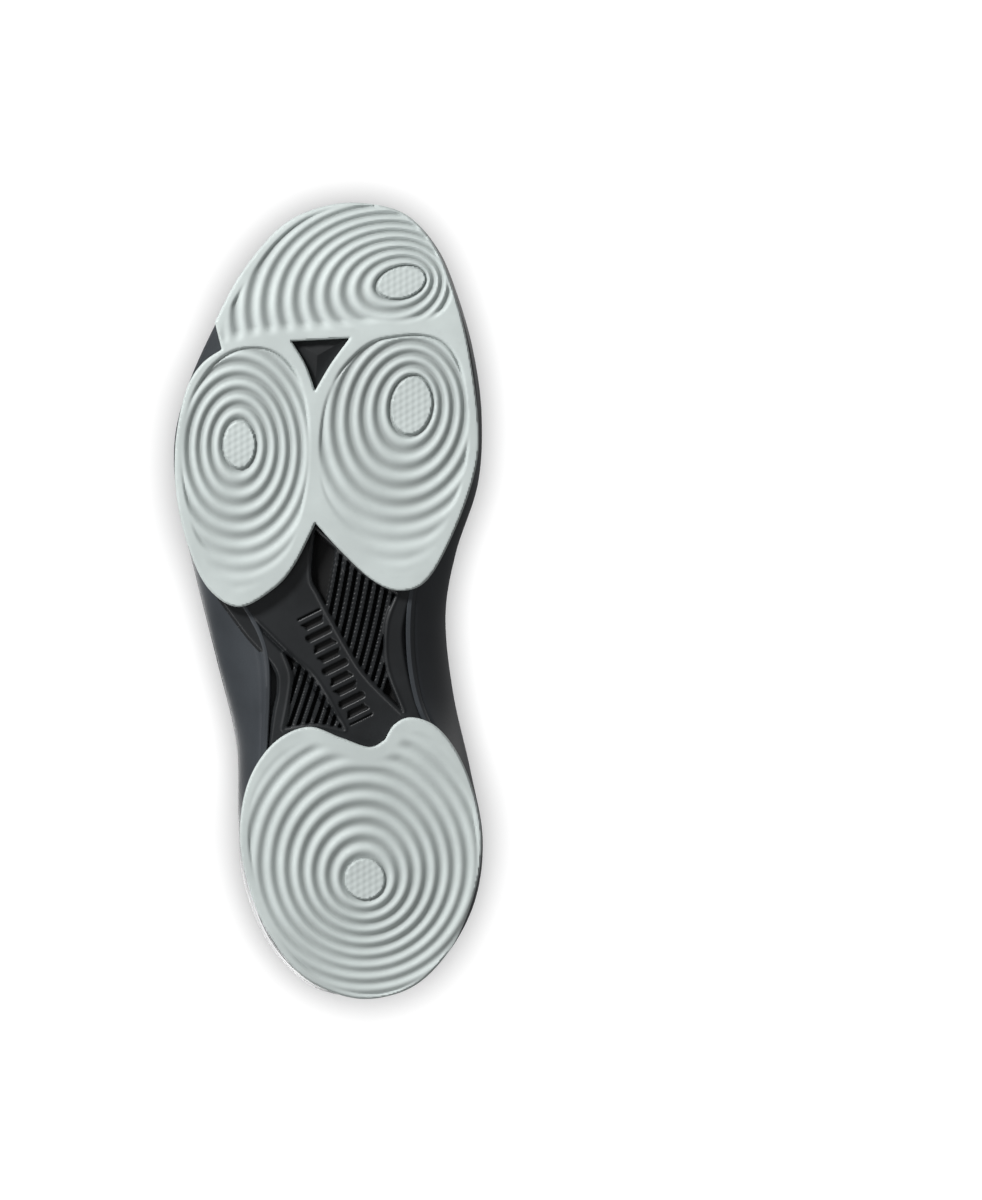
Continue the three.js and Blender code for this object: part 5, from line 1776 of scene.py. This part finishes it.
class CourtShoeSettings(bpy.types.PropertyGroup):
    """Sizes and colours that a user would change."""

    tread_depth: FloatProperty(
        name="Tread depth",
        description="How deep the ripples are cut into the rubber",
        default=0.0014,
        min=0.0005,
        max=0.003,
        unit="LENGTH",
    )
    relief_step: FloatProperty(
        name="Relief step",
        description="Spacing of the mesh that carries the tread and the plate's ribs",
        default=0.0005,
        min=0.0003,
        max=0.002,
        unit="LENGTH",
    )
    rubber_colour: FloatVectorProperty(
        name="Rubber", description="Colour of the outsole", default=(0.545, 0.598, 0.587),
        subtype="COLOR", size=3,
    )
    plate_colour: FloatVectorProperty(
        name="Plate", description="Colour of the midfoot plate", default=(0.013, 0.0145, 0.016),
        subtype="COLOR", size=3,
    )
    foam_colour: FloatVectorProperty(
        name="Midsole", description="Colour of the midsole", default=(0.03, 0.035, 0.041),
        subtype="COLOR", size=3,
    )
    knit_colour: FloatVectorProperty(
        name="Knit", description="Colour of the upper", default=(0.03, 0.034, 0.038),
        subtype="COLOR", size=3,
    )
    lining_colour: FloatVectorProperty(
        name="Lining", description="Colour of the lining and collar", default=(0.02, 0.022, 0.024),
        subtype="COLOR", size=3,
    )
    film_colour: FloatVectorProperty(
        name="Film", description="Colour of the welded overlays", default=(0.06, 0.068, 0.075),
        subtype="COLOR", size=3,
    )
    sock_colour: FloatVectorProperty(
        name="Sockliner", description="Colour of the sockliner", default=(0.33, 0.37, 0.36),
        subtype="COLOR", size=3,
    )
    lace_colour: FloatVectorProperty(
        name="Lace", description="Colour of the lace", default=(0.52, 0.57, 0.55),
        subtype="COLOR", size=3,
    )
    thread_colour: FloatVectorProperty(
        name="Thread", description="Colour of the stitching", default=(0.36, 0.4, 0.39),
        subtype="COLOR", size=3,
    )
    webbing_colour: FloatVectorProperty(
        name="Webbing", description="Colour of the pull tab", default=(0.12, 0.135, 0.14),
        subtype="COLOR", size=3,
    )


class BuildStep:
    """What the shoe's operators share: each one runs its own build."""

    bl_options = {"REGISTER", "UNDO"}

    def execute(self, context):
        self.build()
        return {"FINISHED"}


class SHOE_OT_studio(BuildStep, bpy.types.Operator):
    """Add the camera, the lamps and the paper floor"""

    bl_idname = "shoe.studio"
    bl_label = "Studio"
    build = staticmethod(make_studio)


class SHOE_OT_treads(BuildStep, bpy.types.Operator):
    """Mould the rippled rubber treads"""

    bl_idname = "shoe.treads"
    bl_label = "Treads"
    build = staticmethod(make_treads)


class SHOE_OT_plate(BuildStep, bpy.types.Operator):
    """Mould the ribbed midfoot plate"""

    bl_idname = "shoe.plate"
    bl_label = "Midfoot plate"
    build = staticmethod(make_plate)


class SHOE_OT_midsole(BuildStep, bpy.types.Operator):
    """Mould the midsole and the boss in the tread's window"""

    bl_idname = "shoe.midsole"
    bl_label = "Midsole"
    build = staticmethod(make_midsole)


class SHOE_OT_upper(BuildStep, bpy.types.Operator):
    """Stretch the knit upper, its lining and its stiffeners"""

    bl_idname = "shoe.upper"
    bl_label = "Upper and lining"
    build = staticmethod(make_upper)


class SHOE_OT_overlays(BuildStep, bpy.types.Operator):
    """Lay the toe guard, wings, heel clip and eyestay over the upper, with their stitching"""

    bl_idname = "shoe.overlays"
    bl_label = "Overlays"
    build = staticmethod(make_overlays)


class SHOE_OT_collar(BuildStep, bpy.types.Operator):
    """Pad the collar"""

    bl_idname = "shoe.collar"
    bl_label = "Collar"
    build = staticmethod(make_collar)


class SHOE_OT_tongue(BuildStep, bpy.types.Operator):
    """Pad the tongue"""

    bl_idname = "shoe.tongue"
    bl_label = "Tongue"
    build = staticmethod(make_tongue)


class SHOE_OT_eyelets(BuildStep, bpy.types.Operator):
    """Set the twelve eyelets"""

    bl_idname = "shoe.eyelets"
    bl_label = "Eyelets"
    build = staticmethod(make_eyelets)


class SHOE_OT_lace(BuildStep, bpy.types.Operator):
    """Thread the lace and close its tips"""

    bl_idname = "shoe.lace"
    bl_label = "Lace"
    build = staticmethod(make_lace)


class SHOE_OT_pull_tab(BuildStep, bpy.types.Operator):
    """Fold the pull tab"""

    bl_idname = "shoe.pull_tab"
    bl_label = "Pull tab"
    build = staticmethod(make_pull_tab)


class SHOE_OT_sockliner(BuildStep, bpy.types.Operator):
    """Lay the sockliner in"""

    bl_idname = "shoe.sockliner"
    bl_label = "Sockliner"
    build = staticmethod(make_sockliner)


STEPS = (
    SHOE_OT_studio,
    SHOE_OT_treads,
    SHOE_OT_plate,
    SHOE_OT_midsole,
    SHOE_OT_upper,
    SHOE_OT_overlays,
    SHOE_OT_collar,
    SHOE_OT_tongue,
    SHOE_OT_eyelets,
    SHOE_OT_lace,
    SHOE_OT_pull_tab,
    SHOE_OT_sockliner,
)


class SHOE_PT_panel(bpy.types.Panel):
    """The shoe's steps and settings"""

    bl_label = "Court shoe"
    bl_idname = "SHOE_PT_panel"
    bl_space_type = "VIEW_3D"
    bl_region_type = "UI"
    bl_category = "Court shoe"

    def draw(self, context):
        for step in STEPS:
            self.layout.operator(step.bl_idname)
        for name in CourtShoeSettings.__annotations__:
            self.layout.prop(context.scene.court_shoe, name)


CLASSES = (CourtShoeSettings, *STEPS, SHOE_PT_panel)


def register():
    for cls in CLASSES:
        bpy.utils.register_class(cls)
    bpy.types.Scene.court_shoe = PointerProperty(type=CourtShoeSettings)


def unregister():
    del bpy.types.Scene.court_shoe
    for cls in reversed(CLASSES):
        bpy.utils.unregister_class(cls)


def main():
    register()
    for step in STEPS:
        group, name = step.bl_idname.split(".")
        getattr(getattr(bpy.ops, group), name)()


if __name__ == "__main__":
    main()
